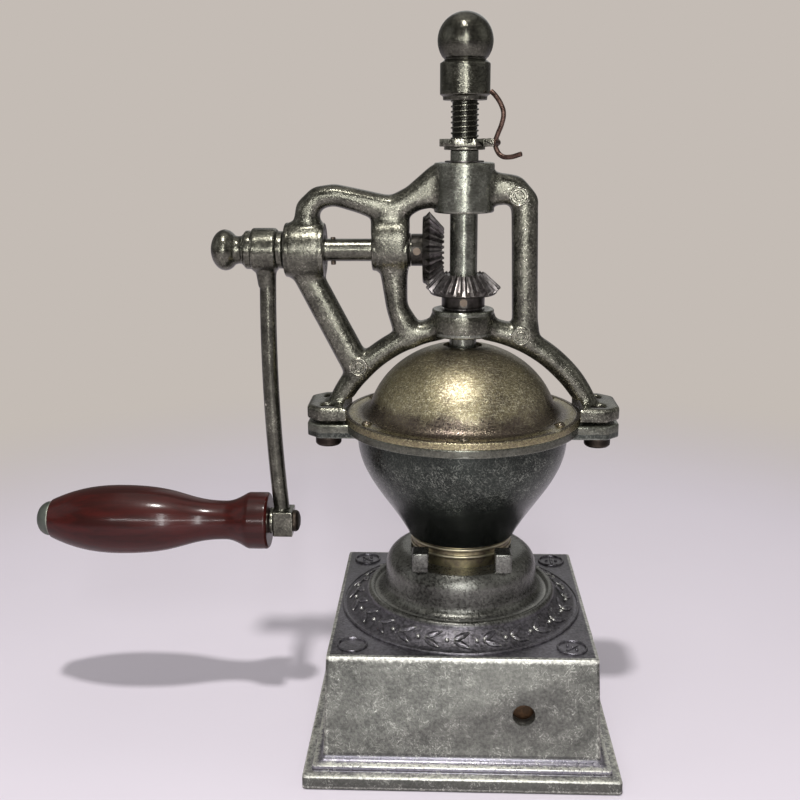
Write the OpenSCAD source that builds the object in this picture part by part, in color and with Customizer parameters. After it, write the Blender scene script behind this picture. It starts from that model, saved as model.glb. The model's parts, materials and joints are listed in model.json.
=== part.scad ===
// Hand-cranked coffee mill of cast metal. A square base with a drawer carries a grinding bowl
// with a domed lid. An arched frame stands on the bowl's ears and carries the crank shaft, a
// pair of equal bevel gears and the upright grinding spindle.
// X runs along the crank shaft with the crank at -X, Y runs towards the drawer, and Z is up.
// The origin is the centre of the base's underside. All sizes are in millimetres.

/* [Base] */
// Width of the square plinth
plinth_w = 125; // [116:1:150]
// Height of the plinth slab
plinth_h = 6; // [5:0.5:10]
// How far the moulded step stands in from the slab's edge
step_in = 3.6; // [2:0.2:6]
// Height of the moulded step
step_h = 2.5; // [1.5:0.5:5]
// Height of the cove above the step
cove_h = 2; // [1:0.5:4]
// Width of the box at its foot
box_w = 109.6; // [104:0.4:114]
// Height of the box above the cove
box_h = 42.3; // [40:0.5:60]
// Draft of each box wall, measured at the top
box_draft = 1.9; // [0.5:0.1:3]
// Thickness of the box walls
base_wall = 3.5; // [2.5:0.25:5]
// Thickness of the box top
base_top_t = 4; // [3:0.25:6]
// Distance from the box edge to the raised ring on its top
ring_margin = 1.7; // [1:0.1:4]
// Radius of the bead round the pedestal's foot
foot_ring_r = 38.4; // [37.5:0.1:42]
// Height of the cone that rises from the ring to the pedestal
relief_rise = 6.5; // [4:0.5:9]
// Radius of the round corner marks on the box top
mark_r = 5.9; // [4:0.1:7]
// Distance of the corner marks from the box edge
mark_in = 9.5; // [8:0.1:12]
// Diameter of the vent hole in the rear wall
vent_d = 8.7; // [5:0.1:12]
// Sideways place of the vent hole
vent_x = 24.3; // [10:0.1:35]
// Height of the vent hole above the box foot
vent_up = 18.6; // [12:0.1:24]
// Thickness of the base plate
plate_t = 1.5; // [1:0.1:2.5]
// Radius of a base screw shank
base_screw_r = 1.5; // [1.2:0.1:2]

/* [Pedestal] */
// Radius of the pedestal wall
ped_r = 32.1; // [30:0.2:35]
// Height of the pedestal above the box top
ped_h = 25.9; // [24:0.1:32]
// Radius of the pedestal's rounded shoulder
ped_round = 9; // [6:0.5:10]
// Half the width of the notch in the shoulder
notch_half = 20.2; // [17:0.2:22]
// Depth of the notch below the pedestal top
notch_h = 2.2; // [1:0.1:4]
// Width of each lug beside the burr ring
lug_w = 6.8; // [4:0.2:8]
// Radius of the chute through the pedestal
chute_r = 16.5; // [15.5:0.1:17.5]

/* [Burrs] */
// Outer radius of the brass burr ring
ring_r = 20.8; // [20:0.1:22]
// Height of the burr ring between the pedestal and the bowl
ring_show = 6.8; // [5:0.1:10]
// Depth of the ring's seat in the pedestal
ring_seat = 12.7; // [10:0.1:15]
// Outer radius of the steel outer burr
burr_r = 15; // [14.4:0.1:15.4]
// Radius of the inner burr at its foot
cone_r = 12; // [11.5:0.1:12.4]
// Radius of the inner burr at its top
cone_top_r = 7; // [6.8:0.1:8]
// Grinding gap between the burrs
grind_gap = 0.5; // [0.35:0.05:1]
// Teeth on each burr
burr_teeth = 12; // [8:1:16]
// Thickness of the bridge under the burrs
bridge_t = 4; // [3:0.25:6]
// Width of the bridge under the burrs
bridge_w = 10; // [8.6:0.2:12]

/* [Bowl] */
// Outer radius of the bowl below its flange
bowl_r = 43.4; // [42:0.2:45]
// Outer radius of the bowl at its foot
neck_r = 22.2; // [21.6:0.1:24]
// Height of the bowl from its foot to the top of its flange
bowl_h = 49.7; // [46:0.1:60]
// Wall thickness of the bowl
bowl_wall = 3; // [2:0.1:4]
// Radius of the bowl and lid flanges
flange_r = 48.6; // [48:0.1:49]
// Thickness of the bowl flange
flange_t = 3.3; // [2.5:0.1:4.5]
// Thickness of the bowl ears and the frame feet
ear_t = 5.8; // [4:0.1:8]
// Distance from the middle to an ear's end
ear_end = 63.4; // [62:0.1:68]
// Half the width of an ear across the bowl
ear_half = 14.5; // [13:0.1:17]
// Cut at each outer corner of an ear
ear_cut = 5.2; // [3:0.1:5.6]
// Distance of the ear bolts from the middle
bolt_x = 55; // [54:0.1:57]
// Distance of the ear bolts from the frame's plane
bolt_y = 7.5; // [7:0.1:9]
// Radius of an ear bolt shank
bolt_r = 3; // [2:0.1:3]
// Radius of an ear bolt head
bolt_head_r = 5.3; // [4.5:0.1:5.8]
// Height of an ear bolt head
bolt_head_h = 4; // [2:0.1:6]

/* [Lid] */
// Outer radius of the dome at its spring line
dome_r = 39.5; // [38.6:0.1:40]
// Height of the dome above its spring line
dome_rise = 35; // [30:0.1:35.4]
// Height of the spring line below the flange's top
dome_sink = 6.4; // [4:0.1:8]
// Wall thickness of the dome
dome_wall = 1.6; // [1:0.1:2.5]
// Thickness of the lid flange
lid_flange_t = 2.7; // [2:0.1:4]
// Number of rivets in the lid flange
rivet_count = 6; // [4:1:8]
// Radius of a lid rivet head
rivet_r = 1.8; // [1.2:0.1:2.2]
// Angle of the filling hole in the dome
fill_angle = 70; // [50:1:80]
// Thickness of the shutter
shutter_t = 1.2; // [0.8:0.1:2]
// Turn of the shutter from open to closed; it is drawn open
shutter_turn = 56; // [30:1:60]

/* [Frame] */
// Inner radius of the arch
arch_r = 52.7; // [52.4:0.1:54]
// Width of the arch and bars in the frame's plane
arch_w = 8.6; // [7:0.1:10]
// Height of the arch's centre below the bowl's rim
arch_drop = 19; // [17:0.1:20]
// Depth of the frame's thin web
web_d = 6.4; // [5:0.1:9]
// Depth of the frame over its middle ridge
ridge_d = 10.4; // [9:0.1:13]
// Gap between an ear and the foot above it
foot_gap = 1.3; // [1:0.1:2.5]
// Radius of the lower bearing hub
low_hub_r = 12.5; // [11:0.1:14]
// Height of the lower bearing hub
low_hub_h = 10.8; // [8:0.1:14]
// Radius of the top bearing hub
top_hub_r = 11.3; // [10.5:0.1:13]
// Height of the top bearing hub
top_hub_h = 19.3; // [15:0.1:24]
// Distance from the shaft axis to the top hub's underside
top_hub_up = 14.8; // [14.4:0.1:18]
// Radius of the outer shaft hub
outer_hub_r = 10.8; // [9:0.1:13]
// Length of the outer shaft hub
outer_hub_l = 16; // [12:0.1:19]
// Radius of the middle shaft hub
mid_hub_r = 8.3; // [7.9:0.1:11]
// Height of the middle hub's boss above the shaft axis
mid_boss_up = 4.4; // [0:0.1:6]
// Length of the middle shaft hub
mid_hub_l = 14.7; // [11:0.1:16]
// Clear distance between the two shaft hubs
hub_space = 18.9; // [17:0.1:24]
// Distance from the spindle axis to the right upright
upright_x = 25.1; // [24.6:0.1:28]
// Wall of a bearing bush
bush_wall = 1.5; // [1:0.1:2]
// Thickness of a bush flange
bush_flange = 0.7; // [0.5:0.1:1]

/* [Drive] */
// Diameter of the grinding spindle
spindle_d = 11; // [10:0.1:11.2]
// Diameter of the crank shaft
shaft_d = 9; // [8:0.1:9.6]
// Teeth on each bevel gear
gear_teeth = 24; // [20:2:28]
// Tooth module at the large end
gear_module = 1.2; // [1.1:0.02:1.22]
// Length of the teeth along the pitch cone
gear_face = 8.8; // [6:0.1:9]
// Height of the spindle gear's hub
gear_hub_h = 4.9; // [4.6:0.1:8]
// Height of the shaft gear's hub
shaft_gear_hub_h = 4.6; // [4:0.1:7]
// Radius of the spindle gear's hub
spindle_hub_r = 8.7; // [8:0.1:10]
// Radius of the shaft gear's hub
shaft_hub_r = 6.4; // [6.2:0.1:8]
// How far the spindle sits below the exact mesh
mesh_slack = 1.4; // [0.3:0.05:1.6]
// Running clearance of a shaft in its bush, on the radius
run_fit = 0.05; // [0.02:0.01:0.09]

/* [Adjuster] */
// Height from the top hub to the lock washer
nut_up = 4.8; // [3:0.1:8]
// Thickness of the lock washer
lock_washer_t = 1.3; // [0.8:0.1:2]
// Radius of the lock washer
lock_washer_r = 8; // [7:0.1:9]
// Thickness of the adjusting nut
nut_t = 2.9; // [2:0.1:5]
// Radius of the adjusting nut across its corners
nut_r = 10.6; // [9.6:0.1:11]
// Length of bare thread above the nut
thread_l = 14.4; // [12:0.1:17]
// Thread pitch
thread_pitch = 2; // [1:0.25:2.5]
// Radius of the knob's ball
ball_r = 10.7; // [10:0.1:12]
// Radius of the knob's barrel
barrel_r = 9.7; // [9:0.1:9.9]
// Height of the knob's barrel with its chamfers
barrel_h = 15; // [13:0.1:17]
// Radius of the notch in the ball's rim
ball_notch_r = 1; // [0.6:0.1:1.4]
// Radius of the spring clip's wire
clip_r = 0.95; // [0.6:0.05:1.1]
// Direction of the spring clip round the spindle
clip_angle = -28; // [-60:1:0]

/* [Crank] */
// Crank throw, from the shaft to the grip's axis
crank_throw = 115.8; // [100:0.2:126]
// Diameter of the crank arm
arm_d = 6.7; // [6.6:0.1:8.4]
// Sideways bow of the crank arm
arm_bow = 1.7; // [1:0.1:3]
// Radius of the crank's upper hub
crank_hub_r = 8.8; // [7.6:0.1:10]
// Length of the crank's upper hub
crank_hub_l = 10.4; // [9:0.1:14]
// Thickness of the spacer between crank and frame
spacer_t = 2.2; // [1:0.1:3]
// Thickness of the washer under the ball nut
washer_t = 3; // [1.5:0.1:4]
// Radius of the ball nut
ball_nut_r = 8.2; // [7:0.1:10]
// Width of the crank's lower eye along the shaft
eye_w = 8.4; // [7.6:0.1:10]
// Height of the crank's lower eye
eye_h = 13; // [11.4:0.1:16]
// Thickness of the washer between the eye and the grip
grip_washer_t = 1.5; // [1:0.1:3]
// Length of the wooden grip
grip_l = 94.6; // [80:0.2:110]
// Largest radius of the grip
grip_r = 14.7; // [13:0.1:17]
// Radius of the grip's collar
grip_collar_r = 12.1; // [11:0.1:14]
// Radius of the grip's neck
grip_neck_r = 8.3; // [7:0.1:10]
// Radius of the grip's outer end
grip_end_r = 8.3; // [7.6:0.1:9.5]
// Radius of the grip's axle
axle_r = 2.6; // [2:0.1:3.2]
// Length of the grip's end cap
cap_l = 6.2; // [5:0.1:8]

/* [Drawer] */
// Half the width of the drawer bay's mouth
bay_half = 42; // [36:0.5:44]
// Height of the drawer bay's mouth
bay_h = 34; // [30:0.5:35.8]
// Wall thickness of the drawer tray
tray_wall = 2.4; // [1.6:0.1:4]
// Thickness of the drawer front
front_t = 4; // [3:0.1:6]
// How far the drawer front covers the wall round the mouth
front_lap = 2.6; // [1:0.1:4]
// Radius of the drawer knob
knob_r = 8; // [6:0.1:10]

/* [Hidden] */
$fn = 72;

// Clearances
gap = 0.3;
seat_fit = 0.1;
press_fit = 0.02;
cut = 1;

// Small screws and pins
screw_r = 1.5;
screw_hole_r = screw_r + seat_fit;
screw_tap_r = screw_r + press_fit;
pin_r = 1;
burr_nut_t = 3;
grip_washer_r = 5.6;

// Heights, from the floor up
z_step = plinth_h + step_h;
z_box = z_step + cove_h;
z_top = z_box + box_h;
z_ped = z_top + ped_h;
z_bowl = z_ped + ring_show;
z_rim = z_bowl + bowl_h;
z_lid = z_rim + lid_flange_t;
z_spring = z_lid - dome_sink;
z_foot = z_rim + foot_gap;
z_arch = z_rim - arch_drop;
z_crown = z_arch + arch_r;
z_low = z_crown + 1;
z_low_top = z_low + low_hub_h;

// Bevel gears
pitch_r = gear_module * gear_teeth / 2;
cone_dist = pitch_r * sqrt(2);
addendum = 0.9 * gear_module;
dedendum = 1.25 * gear_module;
small_end = 1 - gear_face / cone_dist;
rim_t = 0.9;
root_in = dedendum / sqrt(2);
rim_big = 1.012;
rim_small = small_end - 0.012;
gear_back = (pitch_r + root_in) * rim_big + rim_t / sqrt(2);
gear_front = (pitch_r + root_in) * rim_small;
gear_base = z_low_top + bush_flange + gap;
z_shaft = gear_base + gear_hub_h + gear_back + mesh_slack;
z_hub = z_shaft + top_hub_up;
z_hub_top = z_hub + top_hub_h;
z_nut = z_hub_top + nut_up;
z_thread = z_nut + lock_washer_t + nut_t;
z_knob = z_thread + thread_l;
z_ball = z_knob + barrel_h + 7;

// Places along the crank shaft
spindle_r = spindle_d / 2;
shaft_r = shaft_d / 2;
x_gear_end = -(gear_back + shaft_gear_hub_h);
x_mid = x_gear_end - gap - bush_flange - mid_hub_l;
x_outer = x_mid - hub_space - outer_hub_l;
x_pin = x_outer + outer_hub_l + 3.2;
x_spacer = x_outer - bush_flange - gap - spacer_t;
x_crank = x_spacer - crank_hub_l;
x_washer = x_crank - washer_t;
ball_neck = 4.4;
ball_half = ball_nut_r * 0.7;
x_ball = x_washer - ball_neck - ball_half * 0.6;
x_arm = x_crank + crank_hub_l / 2;
x_eye = x_crank + 4.9;
z_grip = z_shaft - crank_throw;
x_grip = x_eye - grip_washer_t - gap;
x_cap = x_grip - grip_l - gap;
end_r = axle_r + 1.8;

// Base
top_w = box_w - 2 * box_draft;
cavity = top_w - 2 * base_wall;
z_ceiling = z_top - base_top_t;
relief_r = top_w / 2 - ring_margin;
mark_at = top_w / 2 - mark_in;
plate_w = cavity + 13.2;
base_screw_at = cavity / 2 + 3.1;
z_seat = z_ped - ring_seat;
z_bridge = z_seat - bridge_t - 2;
bay_z = z_box + 0.2;
rail_w = 13;
tray_z = bay_z + gap;
tray_half = bay_half - 0.4;
tray_back = -(cavity / 2 - 5);
tray_top = tray_z + bay_h - 3;
front_y = box_w / 2 + gap;
z_drawer = tray_z + bay_h / 2;

// Burrs
burr_z = z_seat + 2.5;
burr_h = z_bowl - burr_z;
bridge_screw_at = (chute_r + ring_r) / 2;
bowl_screw_at = (burr_r + ring_r) / 2 - 0.6;

function bezier(a, b, c, d, t) =
    pow(1 - t, 3) * a + 3 * t * pow(1 - t, 2) * b + 3 * t * t * (1 - t) * c + pow(t, 3) * d;
function polar(r, a) = [r * cos(a), r * sin(a)];
function reversed(list) = [for (i = [len(list) - 1 : -1 : 0]) list[i]];

// ---------------------------------------------------------------- shared shapes

// Cylinder along +X that starts at x
module rod(x, r, l, r2 = -1) {
    translate([x, 0, 0])
        rotate([0, 90, 0])
            cylinder(h = l, r1 = r, r2 = r2 < 0 ? r : r2);
}

// Tapered bar with round ends in the plane of the frame
module limb(a, b, wa, wb) {
    d = b - a;
    n = [-d[1], d[0]] / norm(d);
    translate(a) circle(d = wa);
    translate(b) circle(d = wb);
    polygon([a + n * wa / 2, a - n * wa / 2, b - n * wb / 2, b + n * wb / 2]);
}

// Round wire along a list of points
module wire(path, r) {
    for (i = [0 : len(path) - 2]) {
        d = path[i + 1] - path[i];
        translate(path[i])
            rotate([0, acos(d[2] / norm(d)), atan2(d[1], d[0])])
                cylinder(h = norm(d), r = r, $fn = 24);
        translate(path[i + 1]) sphere(r = r + 0.04, $fn = 24);
    }
    translate(path[0]) sphere(r = r + 0.04, $fn = 24);
}

// Slotted pan-head screw that points down from z = 0
module screw(head_r, head_h, shank_r, shank_l) {
    difference() {
        cylinder(h = head_h, r1 = head_r, r2 = head_r * 0.8, $fn = 32);
        translate([-head_r, -0.4, head_h * 0.5])
            cube([2 * head_r, 0.8, head_h]);
    }
    translate([0, 0, -shank_l]) cylinder(h = shank_l + 0.1, r = shank_r, $fn = 24);
}

// Square block with its centre on the Z axis
module block(w, z0, z1) {
    translate([-w / 2, -w / 2, z0]) cube([w, w, z1 - z0]);
}

// ---------------------------------------------------------------- base

// Block whose four walls lean in from w at z0 to w2 at z1
module drafted(w, w2, z0, z1) {
    side = [[-w / 2, z0], [w / 2, z0], [w2 / 2, z1], [-w2 / 2, z1]];
    intersection() {
        rotate([90, 0, 0])
            translate([0, 0, -w / 2]) linear_extrude(w) polygon(side);
        rotate([90, 0, 90])
            translate([0, 0, -w / 2]) linear_extrude(w) polygon(side);
    }
}

module pedestal_solid() {
    shoulder = [for (a = [0 : 10 : 90])
        [ped_r - ped_round, z_ped - ped_round] + polar(ped_round, a)];
    foot_z = z_top + relief_rise;
    bead = [for (a = [0 : 30 : 150]) [foot_ring_r, foot_z - 0.2] + polar(1.8, a)];
    foot = [for (a = [270 : -15 : 180]) [ped_r + 4, foot_z + 4.7] + polar(4, a)];
    rotate_extrude()
        polygon(concat(
            [[0, z_top - 1], [relief_r, z_top - 1], [relief_r, z_top + 0.8],
             [relief_r - 0.9, z_top + 0.8], [relief_r - 1.4, z_top + 0.4]],
            bead, foot, shoulder, [[0, z_ped]]));
}

module lugs() {
    lug_z = z_ped - notch_h - 0.5;
    lug_y = ring_r + seat_fit + 5.2;
    difference() {
        for (sx = [-1, 1], sy = [-1, 1])
            translate([sx * (notch_half - lug_w / 2) - lug_w / 2,
                       sy * (lug_y - 3) - 3, lug_z])
                cube([lug_w, 6, z_bowl - 0.8 - lug_z]);
        translate([0, 0, z_seat]) cylinder(h = z_rim - z_seat, r = ring_r + seat_fit + 0.3);
    }
}

module base_housing() {
    color("#74766f")
    difference() {
        union() {
            block(plinth_w, 0, plinth_h);
            block(plinth_w - 2 * step_in, plinth_h - 0.1, z_step);
            drafted(plinth_w - 2 * step_in - 1.2, box_w, z_step - 0.01, z_box);
            drafted(box_w, top_w, z_box - 0.01, z_top);
            difference() {
                pedestal_solid();
                translate([-notch_half, -ped_r - cut, z_ped - notch_h])
                    cube([2 * notch_half, ped_r, notch_h + cut]);
            }
            lugs();
            for (sx = [-1, 1], sy = [-1, 1])
                translate([sx * mark_at, sy * mark_at, z_top - 0.5])
                    cylinder(h = 0.9, r = mark_r);
        }
        // drawer bay, open below for the base plate and towards +Y for the drawer
        block(cavity, -cut, bay_z - 4);
        difference() {
            block(cavity, bay_z - 4.1, z_ceiling);
            for (x0 = [-cavity / 2 - cut, cavity / 2 + cut - rail_w])
                translate([x0, -cavity / 2 - cut, bay_z - 3.5])
                    cube([rail_w, cavity + 2 * cut, 3.5]);
        }
        translate([-bay_half, 0, bay_z]) cube([2 * bay_half, box_w, bay_h]);
        block(plate_w + 2 * seat_fit, -cut, plate_t);
        for (sx = [-1, 1], sy = [-1, 1]) {
            translate([sx * base_screw_at, sy * base_screw_at, -cut])
                cylinder(h = 7.5 + cut, r = base_screw_r + press_fit, $fn = 24);
            translate([sx * mark_at, sy * mark_at, z_top])
                cylinder(h = cut, r = mark_r - 0.9);
        }
        translate([vent_x, 0, z_box + vent_up])
            rotate([90, 0, 0]) cylinder(h = box_w, d = vent_d);
        // chute, burr ring seat and the holes for the bridge screws
        translate([0, 0, z_ceiling - cut]) cylinder(h = z_ped - z_ceiling, r = chute_r);
        translate([0, 0, z_ceiling - cut])
            cylinder(h = z_bridge + bridge_t - z_ceiling + cut + 0.01, r = ring_r + 2);
        translate([0, 0, z_seat]) cylinder(h = z_ped - z_seat + cut, r = ring_r + seat_fit);
        for (sx = [-1, 1])
            translate([sx * bridge_screw_at, 0, z_bridge])
                cylinder(h = z_seat - z_bridge + cut, r = screw_hole_r, $fn = 24);
    }
}

module base_plate() {
    sink = plate_t - 0.3;
    color("#2f3130")
    difference() {
        block(plate_w, 0, plate_t);
        for (sx = [-1, 1], sy = [-1, 1])
            translate([sx * base_screw_at, sy * base_screw_at, 0]) {
                translate([0, 0, -cut])
                    cylinder(h = plate_t + 2 * cut, r = base_screw_r + seat_fit, $fn = 24);
                translate([0, 0, -0.01])
                    cylinder(h = sink, r1 = base_screw_r + sink + 0.1,
                             r2 = base_screw_r + seat_fit, $fn = 32);
            }
    }
}

module base_screws() {
    sink = plate_t - 0.3;
    color("#5a4636")
    for (sx = [-1, 1], sy = [-1, 1])
        translate([sx * base_screw_at, sy * base_screw_at, 0]) difference() {
            union() {
                translate([0, 0, 0.1])
                    cylinder(h = sink - 0.1, r1 = base_screw_r + sink - 0.2,
                             r2 = base_screw_r, $fn = 32);
                translate([0, 0, sink - 0.1])
                    cylinder(h = 6, r = base_screw_r, $fn = 24);
            }
            translate([-4, -0.35, -cut]) cube([8, 0.7, cut + 0.6]);
        }
}

// ---------------------------------------------------------------- burrs

module burr_ring() {
    bead = 0.45;
    color("#a08a4e")
    difference() {
        union() {
            translate([0, 0, z_seat]) cylinder(h = z_bowl - z_seat, r = ring_r);
            for (z = [z_ped + 1.6, z_bowl - 2.2])
                translate([0, 0, z]) cylinder(h = 1.6, r = ring_r + bead);
        }
        translate([0, 0, burr_z]) cylinder(h = burr_h + cut, r = burr_r + seat_fit);
        translate([0, 0, z_seat - cut]) cylinder(h = ring_seat, r = cone_r + 1);
        for (sx = [-1, 1])
            translate([sx * bridge_screw_at, 0, z_seat - cut])
                cylinder(h = 6 + cut, r = screw_tap_r, $fn = 24);
        for (a = [90, 210, 330])
            rotate([0, 0, a]) translate([bowl_screw_at, 0, z_bowl - 6])
                cylinder(h = 6 + cut, r = screw_tap_r, $fn = 24);
    }
}

module outer_burr() {
    foot = cone_r + grind_gap;
    color("#5f5b55")
    difference() {
        translate([0, 0, burr_z]) cylinder(h = burr_h, r = burr_r);
        translate([0, 0, burr_z - cut]) cylinder(h = burr_h * 0.4 + cut, r = foot);
        translate([0, 0, burr_z + burr_h * 0.4 - 0.01])
            cylinder(h = burr_h * 0.6 + press_fit, r1 = foot, r2 = burr_r - 1.2);
        for (i = [0 : burr_teeth - 1])
            rotate([0, 0, i * 360 / burr_teeth]) translate([foot - 0.6, -0.5, burr_z - cut])
                cube([1.3, 1, burr_h + 2 * cut]);
    }
}

module inner_burr() {
    color("#5f5b55")
    difference() {
        union() {
            translate([0, 0, burr_z]) cylinder(h = burr_h * 0.4, r = cone_r);
            translate([0, 0, burr_z + burr_h * 0.4 - 0.01])
                cylinder(h = burr_h * 0.6 + 2.5, r1 = cone_r, r2 = cone_top_r);
        }
        translate([0, 0, burr_z - cut]) cylinder(h = burr_h + 6, r = end_r + seat_fit);
        for (i = [0 : burr_teeth - 1])
            rotate([0, 0, (i + 0.5) * 360 / burr_teeth])
                translate([cone_r - 1.4, -0.8, burr_z - cut])
                    cube([3, 1.6, burr_h + 6]);
    }
}

module burr_nut() {
    color("#4c4640")
    difference() {
        translate([0, 0, burr_z - burr_nut_t]) cylinder(h = burr_nut_t, r = 7, $fn = 6);
        translate([0, 0, burr_z - burr_nut_t - cut])
            cylinder(h = burr_nut_t + 2 * cut, r = end_r + seat_fit);
    }
}

module burr_bridge() {
    color("#8a7440")
    difference() {
        intersection() {
            translate([-ring_r - 1, -bridge_w / 2, z_bridge])
                cube([2 * ring_r + 2, bridge_w, bridge_t]);
            translate([0, 0, z_bridge]) cylinder(h = bridge_t, r = ring_r + 1.6);
        }
        translate([0, 0, z_bridge - cut])
            cylinder(h = bridge_t + 2 * cut, r = end_r - 1 + run_fit);
        for (sx = [-1, 1])
            translate([sx * bridge_screw_at, 0, z_bridge - cut])
                cylinder(h = bridge_t + 2 * cut, r = screw_hole_r, $fn = 24);
    }
}

module bridge_screws() {
    color("#4c4640")
    for (sx = [-1, 1])
        translate([sx * bridge_screw_at, 0, z_bridge])
            mirror([0, 0, 1]) screw(2.6, 1.6, screw_r, z_seat + 5 - z_bridge);
}

// ---------------------------------------------------------------- bowl and lid

// Outer outline of the bowl from its foot to the flange, as [radius, height]
function bowl_side(shift) = [for (i = [0 : 12])
    [bezier(neck_r, neck_r + 8.8, bowl_r, bowl_r, i / 12) - shift,
     bezier(z_bowl, z_bowl + 0.34 * bowl_h, z_bowl + 0.54 * bowl_h, z_rim - flange_t - 4,
            i / 12)]];

// Octagon-ended pad that both ears and both feet share
module pad(z0, t, inner) {
    outline = [[inner, -ear_half], [ear_end - ear_cut, -ear_half],
               [ear_end, -ear_half + ear_cut], [ear_end, ear_half - ear_cut],
               [ear_end - ear_cut, ear_half], [inner, ear_half]];
    for (m = [0, 1])
        mirror([m, 0, 0]) translate([0, 0, z0]) linear_extrude(t) polygon(outline);
}

module at_bolts() {
    for (sx = [-1, 1], sy = [-1, 1])
        translate([sx * bolt_x, sy * bolt_y, 0]) children();
}

module bowl() {
    outer = bowl_side(0);
    inner = [for (p = bowl_side(bowl_wall)) if (p[1] > z_bowl + 3.4) p];
    flange_z = z_rim - flange_t;
    lip_r = dome_r - dome_wall - shutter_t - 2.4;
    color("#3c403c")
    difference() {
        union() {
            rotate_extrude()
                polygon(concat([[0, z_bowl]], outer,
                    [[bowl_r, flange_z], [flange_r, flange_z], [flange_r, z_rim],
                     [0, z_rim]]));
            pad(z_rim - ear_t, ear_t, bowl_r - 1.5);
        }
        rotate_extrude()
            polygon(concat([[0, z_bowl + 3], [inner[0][0] - 0.6, z_bowl + 3]], inner,
                [[bowl_r - bowl_wall, flange_z], [lip_r, z_rim - 1.6], [0, z_rim - 1.6]]));
        translate([0, 0, z_rim - 2]) cylinder(h = 2 + cut, r = lip_r);
        translate([0, 0, z_bowl - cut]) cylinder(h = 6, r = burr_r - 0.4);
        for (a = [90, 210, 330])
            rotate([0, 0, a]) translate([bowl_screw_at, 0, z_bowl - cut])
                cylinder(h = 6, r = screw_hole_r, $fn = 24);
        at_bolts() translate([0, 0, z_rim - ear_t - cut])
            cylinder(h = ear_t + 2 * cut, r = bolt_r + seat_fit, $fn = 32);
        for (i = [0 : rivet_count - 1])
            rotate([0, 0, -90 + i * 360 / rivet_count])
                translate([rivet_at, 0, z_rim - 2.5])
                    cylinder(h = 3.5, r = rivet_r * 0.6, $fn = 24);
    }
}

module bowl_screws() {
    color("#4c4640")
    for (a = [90, 210, 330])
        rotate([0, 0, a]) translate([bowl_screw_at, 0, z_bowl + 3])
            screw(2, 1.4, screw_r, 8);
}

module ear_bolts() {
    color("#3a2a22")
    at_bolts() translate([0, 0, z_rim - ear_t - bolt_head_h]) {
        difference() {
            union() {
                cylinder(h = 0.8, r1 = bolt_head_r - 0.6, r2 = bolt_head_r);
                translate([0, 0, 0.8]) cylinder(h = bolt_head_h - 0.8, r = bolt_head_r);
            }
            translate([0, 0, -cut]) cylinder(h = 1.6 + cut, r = 2.9, $fn = 6);
        }
        translate([0, 0, bolt_head_h - 0.1])
            cylinder(h = ear_t + foot_gap + ear_t - 0.9, r = bolt_r, $fn = 32);
    }
}

// Quarter ellipse of the dome with its wall drawn in by an inset
function dome_side(inset, steps) = [for (i = [0 : steps])
    [(dome_r - inset) * cos(i * 90 / steps),
     z_spring + (dome_rise - inset) * sin(i * 90 / steps)]];

// Wedge of the space round the spindle between two angles
module wedge(a0, a1) {
    r = 2 * flange_r;
    mid = (a0 + a1) / 2;
    translate([0, 0, z_bowl])
        linear_extrude(z_hub - z_bowl)
            polygon([[0, 0], polar(r, a0), polar(r, mid), polar(r, a1)]);
}

dome_hole_r = spindle_r + bush_wall + 0.9;
rivet_at = (dome_r + flange_r) / 2;
fill_low = z_lid + 5;
fill_high = z_spring + dome_rise * 0.84;

module dome_lid() {
    outer = [for (p = dome_side(0, 18)) if (p[1] > z_lid + 1.4) p];
    inner = [for (p = dome_side(dome_wall, 18)) if (p[1] > z_rim + 0.5) p];
    color("#7d7145")
    difference() {
        rotate_extrude()
            polygon(concat([[dome_r - dome_wall, z_rim], [flange_r, z_rim],
                [flange_r, z_lid], [dome_r + 2.6, z_lid], [dome_r + 0.6, z_lid + 0.7]],
                outer, reversed(inner)));
        translate([0, 0, z_lid]) cylinder(h = dome_rise, r = dome_hole_r);
        intersection() {
            wedge(90 - fill_angle / 2, 90 + fill_angle / 2);
            translate([0, 0, fill_low])
                cylinder(h = fill_high - fill_low, r = 2 * dome_r);
        }
        for (i = [0 : rivet_count - 1])
            rotate([0, 0, -90 + i * 360 / rivet_count])
                translate([rivet_at, 0, 0]) {
                    translate([0, 0, z_rim - cut])
                        cylinder(h = lid_flange_t + 2 * cut, r = rivet_r * 0.6, $fn = 24);
                    translate([0, 0, z_lid])
                        cylinder(h = rivet_r + gap, r = rivet_r + gap, $fn = 32);
                }
    }
}

module lid_rivets() {
    color("#a89a6a")
    for (i = [0 : rivet_count - 1])
        rotate([0, 0, -90 + i * 360 / rivet_count])
            translate([rivet_at, 0, z_lid]) {
                intersection() {
                    translate([0, 0, -rivet_r * 0.5]) sphere(r = rivet_r * 1.12, $fn = 32);
                    cylinder(h = rivet_r, r = rivet_r, $fn = 32);
                }
                translate([0, 0, -lid_flange_t - 2])
                    cylinder(h = lid_flange_t + 2.1, r = rivet_r * 0.6 - press_fit, $fn = 24);
            }
}

// The shutter covers the filling hole with a lap on both sides
shutter_lap = 3;
shutter_a0 = 90 - fill_angle / 2 - shutter_lap + shutter_turn;
shutter_a1 = 90 + fill_angle / 2 + shutter_lap + shutter_turn;
shutter_knob_a = 90 - fill_angle / 2 + 6 + shutter_turn;
shutter_knob_z = z_lid + 12;

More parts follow.
